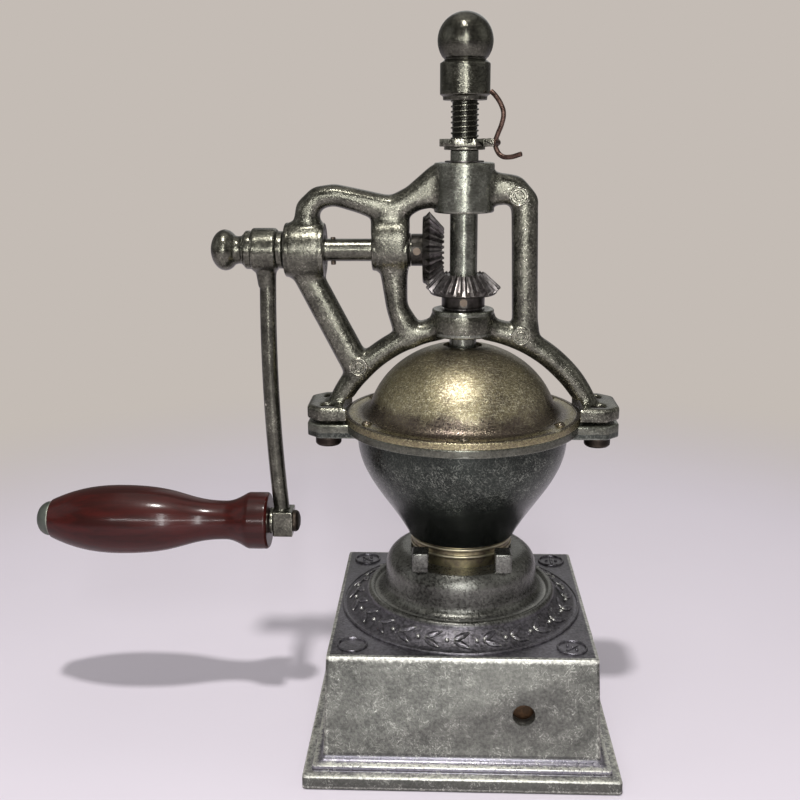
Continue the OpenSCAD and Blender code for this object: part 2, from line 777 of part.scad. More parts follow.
module shutter() {
    out = dome_wall + gap;
    side = [for (p = dome_side(out, 18)) if (p[1] > z_rim + 1 && p[0] > dome_hole_r) p];
    back = [for (p = dome_side(out + shutter_t, 18))
        if (p[1] > z_rim + 1 && p[0] > dome_hole_r) p];
    top = side[len(side) - 1];
    color("#6f6540")
    difference() {
        intersection() {
            rotate_extrude()
                polygon(concat([[side[0][0] - shutter_t, z_rim + gap],
                                [side[0][0], z_rim + gap]], side, reversed(back)));
            union() {
                wedge(shutter_a0, shutter_a1);
                cylinder(h = z_hub, r = top[0] + 4);
            }
        }
        translate([0, 0, z_lid]) cylinder(h = dome_rise, r = dome_hole_r);
        rotate([0, 0, shutter_knob_a]) translate([0, 0, shutter_knob_z])
            rod(0, 1.3, dome_r + cut);
    }
}

module shutter_knob() {
    reach = dome_r * sqrt(1 - pow((shutter_knob_z - z_spring) / dome_rise, 2));
    color("#a89a6a")
    rotate([0, 0, shutter_knob_a]) translate([0, 0, shutter_knob_z]) {
        rod(reach - dome_wall - gap - shutter_t - 1.4, 1.28, 6 + shutter_t);
        rod(reach + 0.6, 1.8, 2.2, 2.4);
        intersection() {
            rod(reach + 2.6, 4, 4);
            translate([reach + 4.2, 0, 0]) sphere(r = 3.2);
        }
    }
}

// ---------------------------------------------------------------- frame

frame_x = [x_outer + outer_hub_l / 2, x_mid + mid_hub_l / 2];

// Outline of the frame's bars in the XZ plane, each bar narrowed by an inset
module frame_bars(inset) {
    w = arch_w - inset;
    out = frame_x[0];
    mid = frame_x[1];
    top_z = z_hub + top_hub_h / 2;
    left_z = z_shaft + outer_hub_r;
    bend = [upright_x - 5.8, top_z - 0.8];
    knee = [upright_x - 1.2, top_z - 5.6];
    web_foot = [mid + 2.4, z_low + 11];
    mid_r = arch_r + arch_w / 2;
    join_l = polar(mid_r, 138) + [0, z_arch];
    join_m = polar(mid_r, 112) + [0, z_arch];
    // top bar, from the outer hub over both windows to the top hub
    limb([out + 0.4, z_shaft], [out + 1.2, left_z + 5.4], w + 3, w);
    limb([out + 1.2, left_z + 5.4], [out + 5.6, left_z + 9.9], w, w - 0.6);
    limb([out + 5.6, left_z + 9.9], [out + 12.2, left_z + 11], w - 0.6, w - 0.9);
    limb([out + 12.2, left_z + 11], [out + 22.5, left_z + 8.4], w - 0.9, w);
    limb([out + 22.5, left_z + 8.4], [mid + 0.8, left_z + 4.6], w, w + 2);
    limb([mid + 0.8, left_z + 4.6], [mid + 9.4, left_z + 9.6], w + 2, w + 0.8);
    limb([mid + 9.4, left_z + 9.6], [0, top_z + 2.2], w + 0.8, w + 5);
    limb([mid + 9.4, left_z + 9.6], [1 - top_hub_r, top_z + 4.2], w + 0.8, w + 0.8);
    limb([mid, z_shaft + mid_boss_up], [mid, left_z + 4.6], w + 4, w + 3);
    // right arm and upright
    limb([0, top_z], bend, w + 6, w + 2);
    limb(bend, knee, w + 2, w + 1.4);
    limb(knee, [upright_x, z_low + 3], w + 1, w + 1);
    limb([upright_x, z_low + 3], polar(mid_r, 62) + [0, z_arch], w + 2, w);
    // struts under the shaft
    limb([out - 2, z_shaft - 5], join_l, w + 2, w + 2.4);
    limb([mid + 0.6, z_shaft], web_foot, w + 3, w - 0.8);
    limb(web_foot, join_m, w - 0.8, w + 3);
}

// Arch from foot to foot
module frame_arch(inset) {
    rise = z_foot + ear_t - 2 - z_arch;
    intersection() {
        translate([0, z_arch]) difference() {
            circle(r = arch_r + arch_w - inset / 2, $fn = 120);
            circle(r = arch_r + inset / 2, $fn = 120);
        }
        translate([-ear_end, z_arch + rise]) square([2 * ear_end, arch_r]);
    }
}

module frame_plane(depth, inset) {
    rotate([90, 0, 0]) translate([0, 0, -depth / 2]) linear_extrude(depth) {
        frame_bars(inset);
        frame_arch(inset);
    }
}

// Round hub from z = 0 with eased ends
module hub(r, l) {
    ease = 1;
    rotate_extrude()
        polygon([[0, 0], [r - ease, 0], [r - 0.3 * ease, 0.3 * ease], [r, ease],
                 [r, l - ease], [r - 0.3 * ease, l - 0.3 * ease], [r - ease, l], [0, l]]);
}

module support_frame() {
    color("#5b625c")
    difference() {
        union() {
            difference() {
                union() {
                    frame_plane(web_d, 0);
                    frame_plane(ridge_d, 3.2);
                }
                // the arch's own opening stays round
                translate([0, 0, z_arch]) rotate([90, 0, 0])
                    cylinder(h = 2 * ridge_d, r = arch_r, center = true, $fn = 120);
            }
            pad(z_foot, ear_t, arch_r - 6.6);
            at_bolts() translate([0, 0, z_rim]) cylinder(h = foot_gap + 0.5, r = 5);
            translate([0, 0, z_low]) hub(low_hub_r, low_hub_h);
            translate([0, 0, z_hub]) hub(top_hub_r, top_hub_h);
            translate([x_outer, 0, z_shaft]) rotate([0, 90, 0]) hub(outer_hub_r, outer_hub_l);
            for (up = [0, mid_boss_up])
                translate([x_mid, 0, z_shaft + up]) rotate([0, 90, 0])
                    hub(mid_hub_r, mid_hub_l);
        }
        // room for the lid flange and for the gears
        translate([0, 0, z_rim - cut])
            cylinder(h = z_foot + ear_t - z_rim + 2 * cut, r = flange_r + gap);
        translate([0, 0, z_shaft]) {
            rod(x_outer - cut, shaft_r + bush_wall, outer_hub_l + 2 * cut);
            rod(x_mid - cut, shaft_r + bush_wall, mid_hub_l + 2 * cut);
            rod(x_mid + mid_hub_l, mid_hub_r + 3, -x_mid - mid_hub_l - top_hub_r);
            rod(x_outer + outer_hub_l, shaft_r + 1.6, hub_space);
        }
        translate([0, 0, z_crown - 2 * cut])
            cylinder(h = z_low_top - z_crown + 3 * cut, r = spindle_r + bush_wall);
        translate([0, 0, z_hub - cut])
            cylinder(h = top_hub_h + 2 * cut, r = spindle_r + bush_wall);
        translate([0, 0, z_low_top]) cylinder(h = z_hub - z_low_top, r = spindle_hub_r + 1.4);
        at_bolts() translate([0, 0, z_rim - cut])
            cylinder(h = foot_gap + ear_t + 2 * cut, r = bolt_r + seat_fit, $fn = 32);
    }
}

// Flanged bush along +Z from z0, with its flange at the low or the high end
module bush(r, z0, l, flange_low) {
    difference() {
        union() {
            translate([0, 0, z0]) cylinder(h = l, r = r + bush_wall);
            translate([0, 0, flange_low ? z0 - bush_flange : z0 + l])
                cylinder(h = bush_flange, r = r + bush_wall + 0.7);
        }
        translate([0, 0, z0 - cut - bush_flange])
            cylinder(h = l + 2 * bush_flange + 2 * cut, r = r + run_fit);
    }
}

module top_bush() {
    color("#8f7a45") bush(spindle_r, z_hub, top_hub_h, false);
}

module lower_bush() {
    color("#8f7a45") bush(spindle_r, z_low, low_hub_h, false);
}

module shaft_bushes() {
    color("#8f7a45")
    translate([0, 0, z_shaft]) rotate([0, 90, 0]) {
        bush(shaft_r, x_mid, mid_hub_l, false);
        bush(shaft_r, x_outer, outer_hub_l, true);
    }
}

// ---------------------------------------------------------------- gears

backlash = 0.24;
flank_tilt = 20;
space_turn = atan(PI * gear_module / 4 * (1 + backlash) / cone_dist);

// Point of a tooth at a height above the pitch line, scaled towards the apex
function cone_point(u, scale) =
    [pitch_r + u / sqrt(2), -pitch_r + u / sqrt(2)] * scale;

// Space between two teeth, bounded by two planes that pass through the apex
module tooth_space() {
    l = 2 * cone_dist;
    rotate([0, 45, 0]) intersection() {
        rotate([0, 0, space_turn]) rotate([-flank_tilt, 0, 0])
            translate([0, -l, -l / 4]) cube([l, l, l / 2]);
        rotate([0, 0, -space_turn]) rotate([flank_tilt, 0, 0])
            translate([0, 0, -l / 4]) cube([l, l, l / 2]);
    }
}

// Bevel gear whose apex is the origin and whose axis points down
module bevel_gear(bore_r, hub_r, hub_h, phase) {
    root = cone_point(-dedendum, 1);
    big = root * rim_big;
    back = big - [rim_t, rim_t] / sqrt(2);
    difference() {
        union() {
            rotate_extrude()
                polygon([[0, -gear_front], root * rim_small, big, back,
                         [hub_r, -gear_back], [hub_r, -gear_back - hub_h],
                         [0, -gear_back - hub_h]]);
            difference() {
                rotate_extrude()
                    polygon([cone_point(-dedendum - 0.25, small_end),
                             cone_point(-dedendum - 0.25, 1), cone_point(addendum, 1),
                             cone_point(addendum, small_end)]);
                for (i = [0 : gear_teeth - 1])
                    rotate([0, 0, (i + phase) * 360 / gear_teeth]) tooth_space();
            }
        }
        translate([0, 0, -gear_back - hub_h - cut])
            cylinder(h = gear_back + hub_h + cut, r = bore_r + press_fit);
        translate([0, 0, -gear_back - hub_h / 2]) rotate([90, 0, 0])
            cylinder(h = hub_r + cut, r = screw_tap_r, $fn = 24);
    }
}

module spindle_gear() {
    color("#4f4a45")
    translate([0, 0, z_shaft - mesh_slack]) bevel_gear(spindle_r, spindle_hub_r, gear_hub_h, 0);
}

module shaft_gear() {
    color("#4f4a45")
    translate([0, 0, z_shaft]) rotate([0, 90, 0]) bevel_gear(shaft_r, shaft_hub_r, shaft_gear_hub_h, 0.5);
}

// Headless screw that runs from the shaft's surface to the hub's
module grub(shaft, hub_r) {
    difference() {
        rotate([90, 0, 0]) translate([0, 0, shaft + 0.05])
            cylinder(h = hub_r - shaft - 0.4, r = screw_r, $fn = 24);
        translate([-2, -hub_r - 0.1, -0.3]) cube([4, 0.7, 0.6]);
    }
}

module spindle_gear_screw() {
    color("#2d2a28")
    translate([0, 0, z_shaft - mesh_slack - gear_back - gear_hub_h / 2])
        grub(spindle_r, spindle_hub_r);
}

module shaft_gear_screw() {
    color("#2d2a28")
    translate([-gear_back - shaft_gear_hub_h / 2, 0, z_shaft]) grub(shaft_r, shaft_hub_r);
}

// ---------------------------------------------------------------- spindle and adjuster

module spindle() {
    thread_end = z_knob + 8;
    core = spindle_r - 0.55;
    turns = floor((thread_end - z_nut) / thread_pitch);
    color("#6a6f66") {
        translate([0, 0, z_bridge])
            cylinder(h = burr_z - burr_nut_t - z_bridge, r = end_r - 1);
        translate([0, 0, burr_z - burr_nut_t - 0.1])
            cylinder(h = z_bowl + 6 - burr_z, r = end_r);
        translate([0, 0, z_bowl + 2.8]) cylinder(h = z_nut - z_bowl - 2.8, r = spindle_r);
        translate([0, 0, z_nut - 0.1]) cylinder(h = thread_end - z_nut, r = core);
        for (i = [0 : turns - 1])
            translate([0, 0, z_nut + i * thread_pitch]) {
                cylinder(h = thread_pitch * 0.35, r1 = core, r2 = spindle_r - press_fit);
                translate([0, 0, thread_pitch * 0.35])
                    cylinder(h = thread_pitch * 0.2, r = spindle_r - press_fit);
                translate([0, 0, thread_pitch * 0.55])
                    cylinder(h = thread_pitch * 0.35, r1 = spindle_r - press_fit, r2 = core);
            }
    }
}

module top_knob() {
    neck = 7.85;
    ball = [for (a = [-38 : 8 : 90]) [0, z_ball] + polar(ball_r, a)];
    ball_foot = z_knob + barrel_h + 1.3;
    color("#5a605a")
    difference() {
        rotate_extrude()
            polygon(concat([[0, z_knob], [barrel_r - 1.2, z_knob],
                [barrel_r - 1.1, z_knob + 1.6], [barrel_r, z_knob + 2],
                [barrel_r, z_knob + barrel_h - 1.3], [neck, z_knob + barrel_h],
                [neck + 0.6, ball_foot - 0.9]],
                [for (p = ball) if (p[1] > ball_foot) p], [[0, z_ball + ball_r]]));
        translate([0, 0, z_knob - cut])
            cylinder(h = 8.3 + cut, r = spindle_r + press_fit);
        rotate([0, 0, clip_angle + 20]) translate([ball_r, 0, z_knob + barrel_h])
            cylinder(h = 4.4, r = ball_notch_r, $fn = 24);
    }
}

module lock_washer() {
    color("#5a605a")
    difference() {
        translate([0, 0, z_nut]) cylinder(h = lock_washer_t, r = lock_washer_r);
        translate([0, 0, z_nut - cut]) cylinder(h = 4, r = spindle_r + run_fit);
    }
}

ear_reach = nut_r + 2.6;
z_pivot = z_nut + lock_washer_t + nut_t / 2;

module adjusting_nut() {
    z0 = z_nut + lock_washer_t;
    color("#62685f")
    difference() {
        union() {
            translate([0, 0, z0]) rotate([0, 0, 22.5]) cylinder(h = nut_t, r = nut_r, $fn = 8);
            rotate([0, 0, clip_angle]) {
                translate([nut_r - 3, -2.6, z0]) cube([3.2, 5.2, nut_t]);
                for (s = [-1, 1])
                    translate([nut_r - 0.5, s * 2 - 0.6, z0]) cube([3.6, 1.2, nut_t]);
            }
        }
        translate([0, 0, z0 - cut]) cylinder(h = nut_t + 2 * cut, r = spindle_r + run_fit);
        for (i = [0 : 7])
            rotate([0, 0, i * 45 + 22.5 / 2]) translate([nut_r - 1.7, -0.7, z0 + nut_t / 2])
                cube([3, 1.4, nut_t]);
    }
}

// Bent wire of the clip, as [distance from the spindle axis, height]
tip_r = barrel_r + gap + clip_r + 0.1;
clip_path = [
    [tip_r, z_knob + 3.2], [tip_r + 1.8, z_knob + 1.6], [tip_r + 4.3, z_knob - 1.8],
    [tip_r + 5.4, z_knob - 5], [tip_r + 4.7, z_knob - 9], [ear_reach + 1, z_pivot + 3.2],
    [ear_reach, z_pivot], [ear_reach + 0.8, z_pivot - 3], [ear_reach + 2.8, z_pivot - 5],
    [ear_reach + 6, z_pivot - 5.4], [ear_reach + 11, z_pivot - 4.2]];

module spring_clip() {
    color("#6b4334")
    rotate([0, 0, clip_angle]) {
        wire([for (p = clip_path) [p[0], 0, p[1]]], clip_r);
        translate([ear_reach, 0, z_pivot]) rotate([90, 0, 0])
            cylinder(h = 2.1, r = clip_r + 0.4, center = true, $fn = 24);
    }
}

// ---------------------------------------------------------------- crank

module crank_shaft() {
    color("#6a6f66")
    translate([0, 0, z_shaft]) difference() {
        union() {
            rod(x_crank, shaft_r, -gear_front - 0.3 - x_crank);
            rod(x_washer - 4, shaft_r - 1, x_crank - x_washer + 5);
        }
        translate([x_pin, 0, 0])
            cylinder(h = 3 * shaft_r, r = pin_r + press_fit, center = true, $fn = 24);
    }
}

module shaft_pin() {
    color("#1d1c1c")
    translate([x_pin, 0, z_shaft - shaft_r - 1.4])
        cylinder(h = 2 * shaft_r + 2, r = pin_r, $fn = 24);
}

module crank_spacer() {
    color("#6a6f66")
    translate([0, 0, z_shaft]) difference() {
        rod(x_spacer, shaft_r + 3, spacer_t);
        rod(x_spacer - cut, shaft_r + press_fit, spacer_t + 2 * cut);
    }
}

// Bar that bows sideways along an arc between two points in the XZ plane
module bowed_bar(a, b, bow, d) {
    chord = norm(b - a);
    r = chord * chord / (8 * bow) + bow / 2;
    half = asin(chord / 2 / r);
    tilt = atan2(b[1] - a[1], b[0] - a[0]);
    translate([(a[0] + b[0]) / 2, 0, (a[1] + b[1]) / 2])
        rotate([0, -tilt - 90, 0])
            translate([r - bow, 0, 0])
                rotate([90, 0, 0]) rotate([0, 0, 180 - half])
                    rotate_extrude(angle = 2 * half, $fn = 360)
                        translate([r, 0]) circle(d = d, $fn = 32);
}

module crank_arm() {
    eye_x = x_eye + eye_w / 2;
    low_end = z_grip + eye_h / 2 - 2;
    color("#4e5652")
    difference() {
        union() {
            translate([0, 0, z_shaft]) {
                rod(x_crank, crank_hub_r - 0.8, 0.8, crank_hub_r);
                rod(x_crank + 0.8, crank_hub_r, crank_hub_l - 1.6);
                rod(x_crank + crank_hub_l - 0.8, crank_hub_r, 0.8, crank_hub_r - 0.8);
            }
            bowed_bar([x_arm + 1, z_shaft - 6], [eye_x - 0.6, low_end], arm_bow, arm_d);
            translate([x_arm + 0.2, 0, z_shaft - crank_hub_r - 6])
                cylinder(h = 8, d1 = arm_d, d2 = arm_d + 2.4);
            translate([x_eye, -eye_h / 2 + 1, z_grip - eye_h / 2 + 1])
                cube([eye_w, eye_h - 2, eye_h - 2]);
        }
        translate([0, 0, z_shaft]) {
            rod(x_crank - 0.01, shaft_r + press_fit, crank_hub_l + cut);
            rod(x_crank - 2, shaft_r + press_fit, 3);
        }
        translate([0, 0, z_grip]) rod(x_eye - cut, axle_r + press_fit, eye_w + 2 * cut);
    }
}

module crank_washer() {
    color("#4e5652")
    translate([0, 0, z_shaft]) difference() {
        union() {
            rod(x_washer, ball_nut_r - 1.2, 0.7, ball_nut_r - 0.5);
            rod(x_washer + 0.7, ball_nut_r - 0.5, washer_t - 0.7);
        }
        rod(x_washer - cut, shaft_r - 1 + press_fit, washer_t + 2 * cut);
    }
}

module ball_nut() {
    neck = 5.7;
    side = [for (a = [70 : -8 : -90])
        [ball_nut_r * cos(a), x_ball + ball_half * sin(a)]];
    color("#4e5652")
    translate([0, 0, z_shaft]) difference() {
        rotate([0, 90, 0]) rotate_extrude()
            polygon(concat([[0, x_washer], [neck + 0.7, x_washer], [neck, x_washer - 0.8]],
                [for (p = side) if (p[0] > neck || p[1] < x_ball) p],
                [[0, x_ball - ball_half]]));
        rod(x_washer - 4.3, shaft_r - 1 + press_fit, 5);
    }
}

module grip_washer() {
    color("#8a8d80")
    translate([0, 0, z_grip]) difference() {
        rod(x_eye - grip_washer_t, grip_washer_r, grip_washer_t);
        rod(x_eye - grip_washer_t - cut, axle_r + press_fit, grip_washer_t + 2 * cut);
    }
}

module grip_axle() {
    head = 4.6;
    color("#33302e")
    translate([0, 0, z_grip]) {
        rod(x_cap - cap_l * 0.6, axle_r, x_eye + eye_w - x_cap + cap_l * 0.6);
        rod(x_eye + eye_w, head, 1);
        rod(x_eye + eye_w + 1, head, 1.8, head - 1.6);
    }
}

module grip_cap() {
    r = grip_end_r - 0.9;
    steps = 6;
    color("#5f6a66")
    translate([0, 0, z_grip]) difference() {
        rotate([0, -90, 0]) translate([0, 0, -x_cap]) rotate_extrude()
            polygon(concat([[0, 0]], [for (i = [0 : steps])
                [r * cos(i * 90 / steps), cap_l * sin(i * 90 / steps)]]));
        rod(x_cap - cap_l * 0.6, axle_r + press_fit, cap_l);
    }
}

// Outline of the grip along its axis, from its collar to its outer end
function grip_side() = concat(
    [[grip_collar_r - 0.5, 0], [grip_collar_r, 0.6], [grip_collar_r, 9]],
    [for (i = [1 : 6]) let (t = i / 6)
        [bezier(grip_collar_r, grip_collar_r - 1.6, grip_neck_r, grip_neck_r, t),
         9 + bezier(0, 3, 6, 10, t)]],
    [for (i = [1 : 10]) let (t = i / 10, l = grip_l - 19)
        [bezier(grip_neck_r, grip_neck_r, grip_r, grip_r, t),
         19 + bezier(0, 0.24 * l, 0.24 * l, 0.6 * l, t)]],
    [for (i = [1 : 6]) let (t = i / 6, l = grip_l - 19)
        [bezier(grip_r, grip_r, grip_r - 1.5, grip_end_r, t),
         19 + 0.6 * l + bezier(0, 0.14 * l, 0.26 * l, 0.4 * l, t)]]);

module grip() {
    color("#4a1512")
    translate([0, 0, z_grip]) difference() {
        rotate([0, -90, 0]) translate([0, 0, -x_grip]) rotate_extrude()
            polygon(concat([[0, 0]], grip_side(), [[0, grip_l]]));
        rod(x_grip - grip_l - cut, axle_r + run_fit, grip_l + 2 * cut);
    }
}

// ---------------------------------------------------------------- drawer

module drawer_tray() {
    depth = front_y - tray_back;
    color("#6b3f22")
    difference() {
        translate([-tray_half, tray_back, tray_z])
            cube([2 * tray_half, depth, tray_top - tray_z]);
        translate([-tray_half + tray_wall, tray_back + tray_wall, tray_z + tray_wall])
            cube([2 * (tray_half - tray_wall), depth - 2 * tray_wall, bay_h]);
        translate([0, front_y - tray_wall - cut, z_drawer]) rotate([-90, 0, 0])
            cylinder(h = tray_wall + 2 * cut, r = screw_hole_r, $fn = 24);
    }
}

module drawer_front() {
    half = bay_half + front_lap;
    z0 = bay_z + 0.6;
    z1 = bay_z + bay_h + front_lap;
    color("#6b6e66")
    difference() {
        union() {
            translate([-half, front_y, z0]) cube([2 * half, front_t - 1.2, z1 - z0]);
            translate([-half + 3, front_y + 1, z0 + 3])
                cube([2 * half - 6, front_t - 1, z1 - z0 - 6]);
        }
        translate([0, front_y - cut, z_drawer]) rotate([-90, 0, 0])
            cylinder(h = front_t + 2 * cut, r = screw_hole_r, $fn = 24);
    }
}

module drawer_knob() {
    steps = 8;
    base_r = 4.2;
    color("#8f7a45")
    translate([0, front_y + front_t, z_drawer]) rotate([-90, 0, 0]) difference() {
        rotate_extrude()
            polygon(concat([[0, 0], [base_r, 0], [base_r, 1], [base_r - 1.4, 2.4],
                            [base_r - 1, 4.5]],
                [for (i = [0 : steps]) let (a = -50 + i * 140 / steps)
                    [knob_r * cos(a), 4.5 + knob_r * 0.62 + knob_r * 0.75 * sin(a)]]));
        translate([0, 0, -cut]) cylinder(h = 7 + cut, r = screw_tap_r, $fn = 24);
    }
}

module drawer_screw() {
    color("#4c4640")
    translate([0, front_y - tray_wall, z_drawer]) rotate([90, 0, 0])
        screw(3, 1.6, screw_r, tray_wall + front_t + 6);
}

base_housing();
base_plate();
base_screws();
burr_ring();
outer_burr();
burr_bridge();
bridge_screws();
bowl();
bowl_screws();
dome_lid();
lid_rivets();
support_frame();
ear_bolts();
top_bush();
lower_bush();
shaft_bushes();
spindle();
spindle_gear();
spindle_gear_screw();
inner_burr();
burr_nut();
top_knob();
lock_washer();
adjusting_nut();
spring_clip();
crank_shaft();
shaft_pin();
shaft_gear();
shaft_gear_screw();
crank_spacer();
crank_arm();
crank_washer();
ball_nut();
grip_washer();
grip_axle();
grip_cap();
grip();
shutter();
shutter_knob();
drawer_tray();
drawer_front();
drawer_knob();
drawer_screw();
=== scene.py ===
"""Finished surfaces for a hand-cranked coffee mill, built around its solid parts."""

import json
import math

import bmesh
import bpy
from bpy.props import FloatProperty, FloatVectorProperty, PointerProperty
from mathutils import Matrix, Vector


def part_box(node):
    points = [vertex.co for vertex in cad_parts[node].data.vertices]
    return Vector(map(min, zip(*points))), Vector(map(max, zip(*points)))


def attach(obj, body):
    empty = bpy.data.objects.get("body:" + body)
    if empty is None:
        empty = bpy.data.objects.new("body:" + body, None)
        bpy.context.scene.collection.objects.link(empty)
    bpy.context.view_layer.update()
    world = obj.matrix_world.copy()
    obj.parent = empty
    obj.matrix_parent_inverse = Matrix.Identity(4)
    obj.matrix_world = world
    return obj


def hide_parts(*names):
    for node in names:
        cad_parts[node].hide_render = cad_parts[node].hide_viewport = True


bl_info = {
    "name": "Coffee Mill Surfaces",
    "version": (1, 0, 0),
    "blender": (4, 5, 0),
    "location": "View3D > Sidebar > Mill",
    "description": "Builds the cast, turned and wooden surfaces of a hand-cranked coffee mill",
    "category": "Add Mesh",
}

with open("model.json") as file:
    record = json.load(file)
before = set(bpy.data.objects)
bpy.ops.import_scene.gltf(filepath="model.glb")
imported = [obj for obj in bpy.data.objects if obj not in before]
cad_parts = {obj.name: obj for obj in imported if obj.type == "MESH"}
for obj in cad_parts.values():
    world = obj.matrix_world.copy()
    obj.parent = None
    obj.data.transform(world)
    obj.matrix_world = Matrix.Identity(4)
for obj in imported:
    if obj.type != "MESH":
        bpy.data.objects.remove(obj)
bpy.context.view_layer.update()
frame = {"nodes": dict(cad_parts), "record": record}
MM = 0.001


# ------------------------------------------------------------ places, in millimetres

def low(node):
    """Lowest corner of a solid part."""
    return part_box(node)[0] / MM


def high(node):
    """Highest corner of a solid part."""
    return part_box(node)[1] / MM


def middle(node):
    """Centre of a solid part."""
    return (low(node) + high(node)) / 2


PLINTH_HALF = high("base_plate").x + 6.5
BOWL_FOOT = low("bowl").z
RIM = high("bowl").z
SEAT = low("burr_ring").z
PEDESTAL_TOP = BOWL_FOOT - 6.8
BOX_TOP = PEDESTAL_TOP - 25.9
BOX_FOOT = 10.5
SHAFT_LINE = (0, 0, middle("crank_shaft").z)
GRIP_Z = middle("grip").z
KNOB_FOOT = low("top_knob").z
KNOB_TOP = high("top_knob").z
NUT_FOOT = low("adjusting_nut").z
NUT_TOP = high("adjusting_nut").z


# ------------------------------------------------------------ sizes and colours

def millimetres(name, description, default):
    """A length property whose default is given in millimetres."""
    return FloatProperty(name=name, description=description, default=default * MM,
                         unit="LENGTH", subtype="DISTANCE", precision=5)


def linear(red, green, blue):
    """Turns a screen colour of 0 to 255 into scene values."""
    def channel(value):
        value /= 255
        return value / 12.92 if value <= 0.04045 else ((value + 0.055) / 1.055) ** 2.4
    return tuple(channel(c) for c in (red, green, blue))


def colour(name, description, red, green, blue):
    """A colour property whose default is given as a screen colour."""
    return FloatVectorProperty(name=name, description=description, subtype="COLOR",
                               size=3, min=0, max=1, default=linear(red, green, blue))


class MillSizes(bpy.types.PropertyGroup):
    """Lengths that shape the mill's surfaces."""
    edge: millimetres("Edge", "Rounding of cast edges", 0.8)
    fine_edge: millimetres("Fine edge", "Rounding of small machined edges", 0.25)
    corner: millimetres("Corner", "Radius of the base's upright corners", 1.6)
    pedestal: millimetres("Pedestal", "Radius of the pedestal's wall", 32.1)
    shoulder: millimetres("Shoulder", "Radius of the pedestal's shoulder", 9)
    foot_bead: millimetres("Foot bead", "Radius of the bead round the pedestal's foot", 38.4)
    relief: millimetres("Relief", "Radius of the ring on the base's top", 51.2)
    flange: millimetres("Flange", "Radius of the bowl's and the lid's flanges", 48.6)
    bowl: millimetres("Bowl", "Radius of the bowl under its flange", 43.4)
    bowl_neck: millimetres("Bowl neck", "Radius of the bowl's foot", 22.2)
    bowl_wall: millimetres("Bowl wall", "Thickness of the bowl", 3)
    dome: millimetres("Dome", "Radius of the lid's dome", 39.5)
    dome_rise: millimetres("Dome rise", "Height of the dome above its spring line", 35)
    casting_grain: millimetres("Casting grain",
                               "Mesh size of the frame's softened casting", 0.72)
    arm_grain: millimetres("Arm grain", "Mesh size of the crank arm's softened casting", 0.42)


class MillColours(bpy.types.PropertyGroup):
    """Colours of the mill's finishes."""
    pewter_dark: colour("Pewter dark", "Hollows of the antique pewter", 29, 28, 25)
    pewter: colour("Pewter", "Antique pewter", 108, 107, 96)
    pewter_bright: colour("Pewter bright", "Worn edges of the antique pewter", 218, 214, 198)
    base_dark: colour("Base dark", "Hollows of the base's finish", 66, 66, 63)
    base: colour("Base", "Finish of the base", 122, 122, 116)
    # base_bright also colours the painted highlights on the base's top edge and on its raised
    # relief
    base_bright: colour("Base bright", "Scratches and edges of the base", 222, 222, 212)
    deck_dark: colour("Deck dark", "Hollows of the base's top", 53, 51, 53)
    deck: colour("Deck", "Lilac-grey top of the base", 117, 114, 121)
    moulding: colour("Moulding", "Lilac-silver mouldings of the plinth", 122, 119, 131)
    bowl_dark: colour("Bowl dark", "Polished dark bowl", 33, 36, 33)
    bowl: colour("Bowl grey", "Clouds in the bowl's finish", 62, 67, 62)
    bowl_bright: colour("Bowl bright", "Flecks in the bowl's finish", 176, 180, 168)
    brass_dark: colour("Brass dark", "Purple-brown tarnish of the brass", 72, 61, 60)
    brass: colour("Brass", "Antique brass", 164, 155, 118)
    brass_bright: colour("Brass bright", "Rubbed brass", 234, 227, 198)
    gear_dark: colour("Gear dark", "Oiled gear steel", 66, 62, 60)
    gear: colour("Gear", "Grey steel between the oil stains", 128, 123, 122)
    # turned is the pewter painted brighter for the upright hubs and spindle, a painted sheen
    # for their upright highlights
    turned: colour("Turned pewter", "Bright pewter of hubs and spindle", 136, 138, 128)
    oil: colour("Oil", "Brown oil stain on the gear hubs", 60, 57, 52)
    wire: colour("Wire", "Copper-brown wire and bolt heads", 84, 66, 58)
    wood: colour("Grip wood", "Lacquered red-brown wood", 58, 14, 10)
    wood_dark: colour("Grip grain", "Dark grain in the grip", 40, 10, 7)
    cap: colour("End cap", "Grey-green metal of the grip's cap", 80, 90, 85)
    drawer_wood: colour("Drawer wood", "Oiled wood of the drawer", 96, 70, 48)
    floor: colour("Floor", "Pale floor", 222, 215, 226)
    wall: colour("Wall", "Cream wall behind the floor", 196, 188, 181)


def colours():
    return bpy.context.scene.mill_colours


# ------------------------------------------------------------ shaders

class Number:
    """A number on its way through a shader: arithmetic on it adds Math nodes."""

    def __init__(self, shader, socket):
        self.shader = shader
        self.socket = socket

    def math(self, operation, first, second=0.0):
        node = self.shader.add("ShaderNodeMath", {"operation": operation},
                               {0: first, 1: second})
        return Number(self.shader, node.outputs[0])

    def __add__(self, other):
        return self.math("ADD", self, other)

    def __sub__(self, other):
        return self.math("SUBTRACT", self, other)

    def __rsub__(self, other):
        return self.math("SUBTRACT", other, self)

    def __mul__(self, other):
        return self.math("MULTIPLY", self, other)

    def __truediv__(self, other):
        return self.math("DIVIDE", self, other)

    def __abs__(self):
        return self.math("ABSOLUTE", self)

    def root(self):
        return self.math("SQRT", self)

    def larger(self, other):
        return self.math("MAXIMUM", self, other)

    def smaller(self, other):
        return self.math("MINIMUM", self, other)

    __radd__ = __add__
    __rmul__ = __mul__


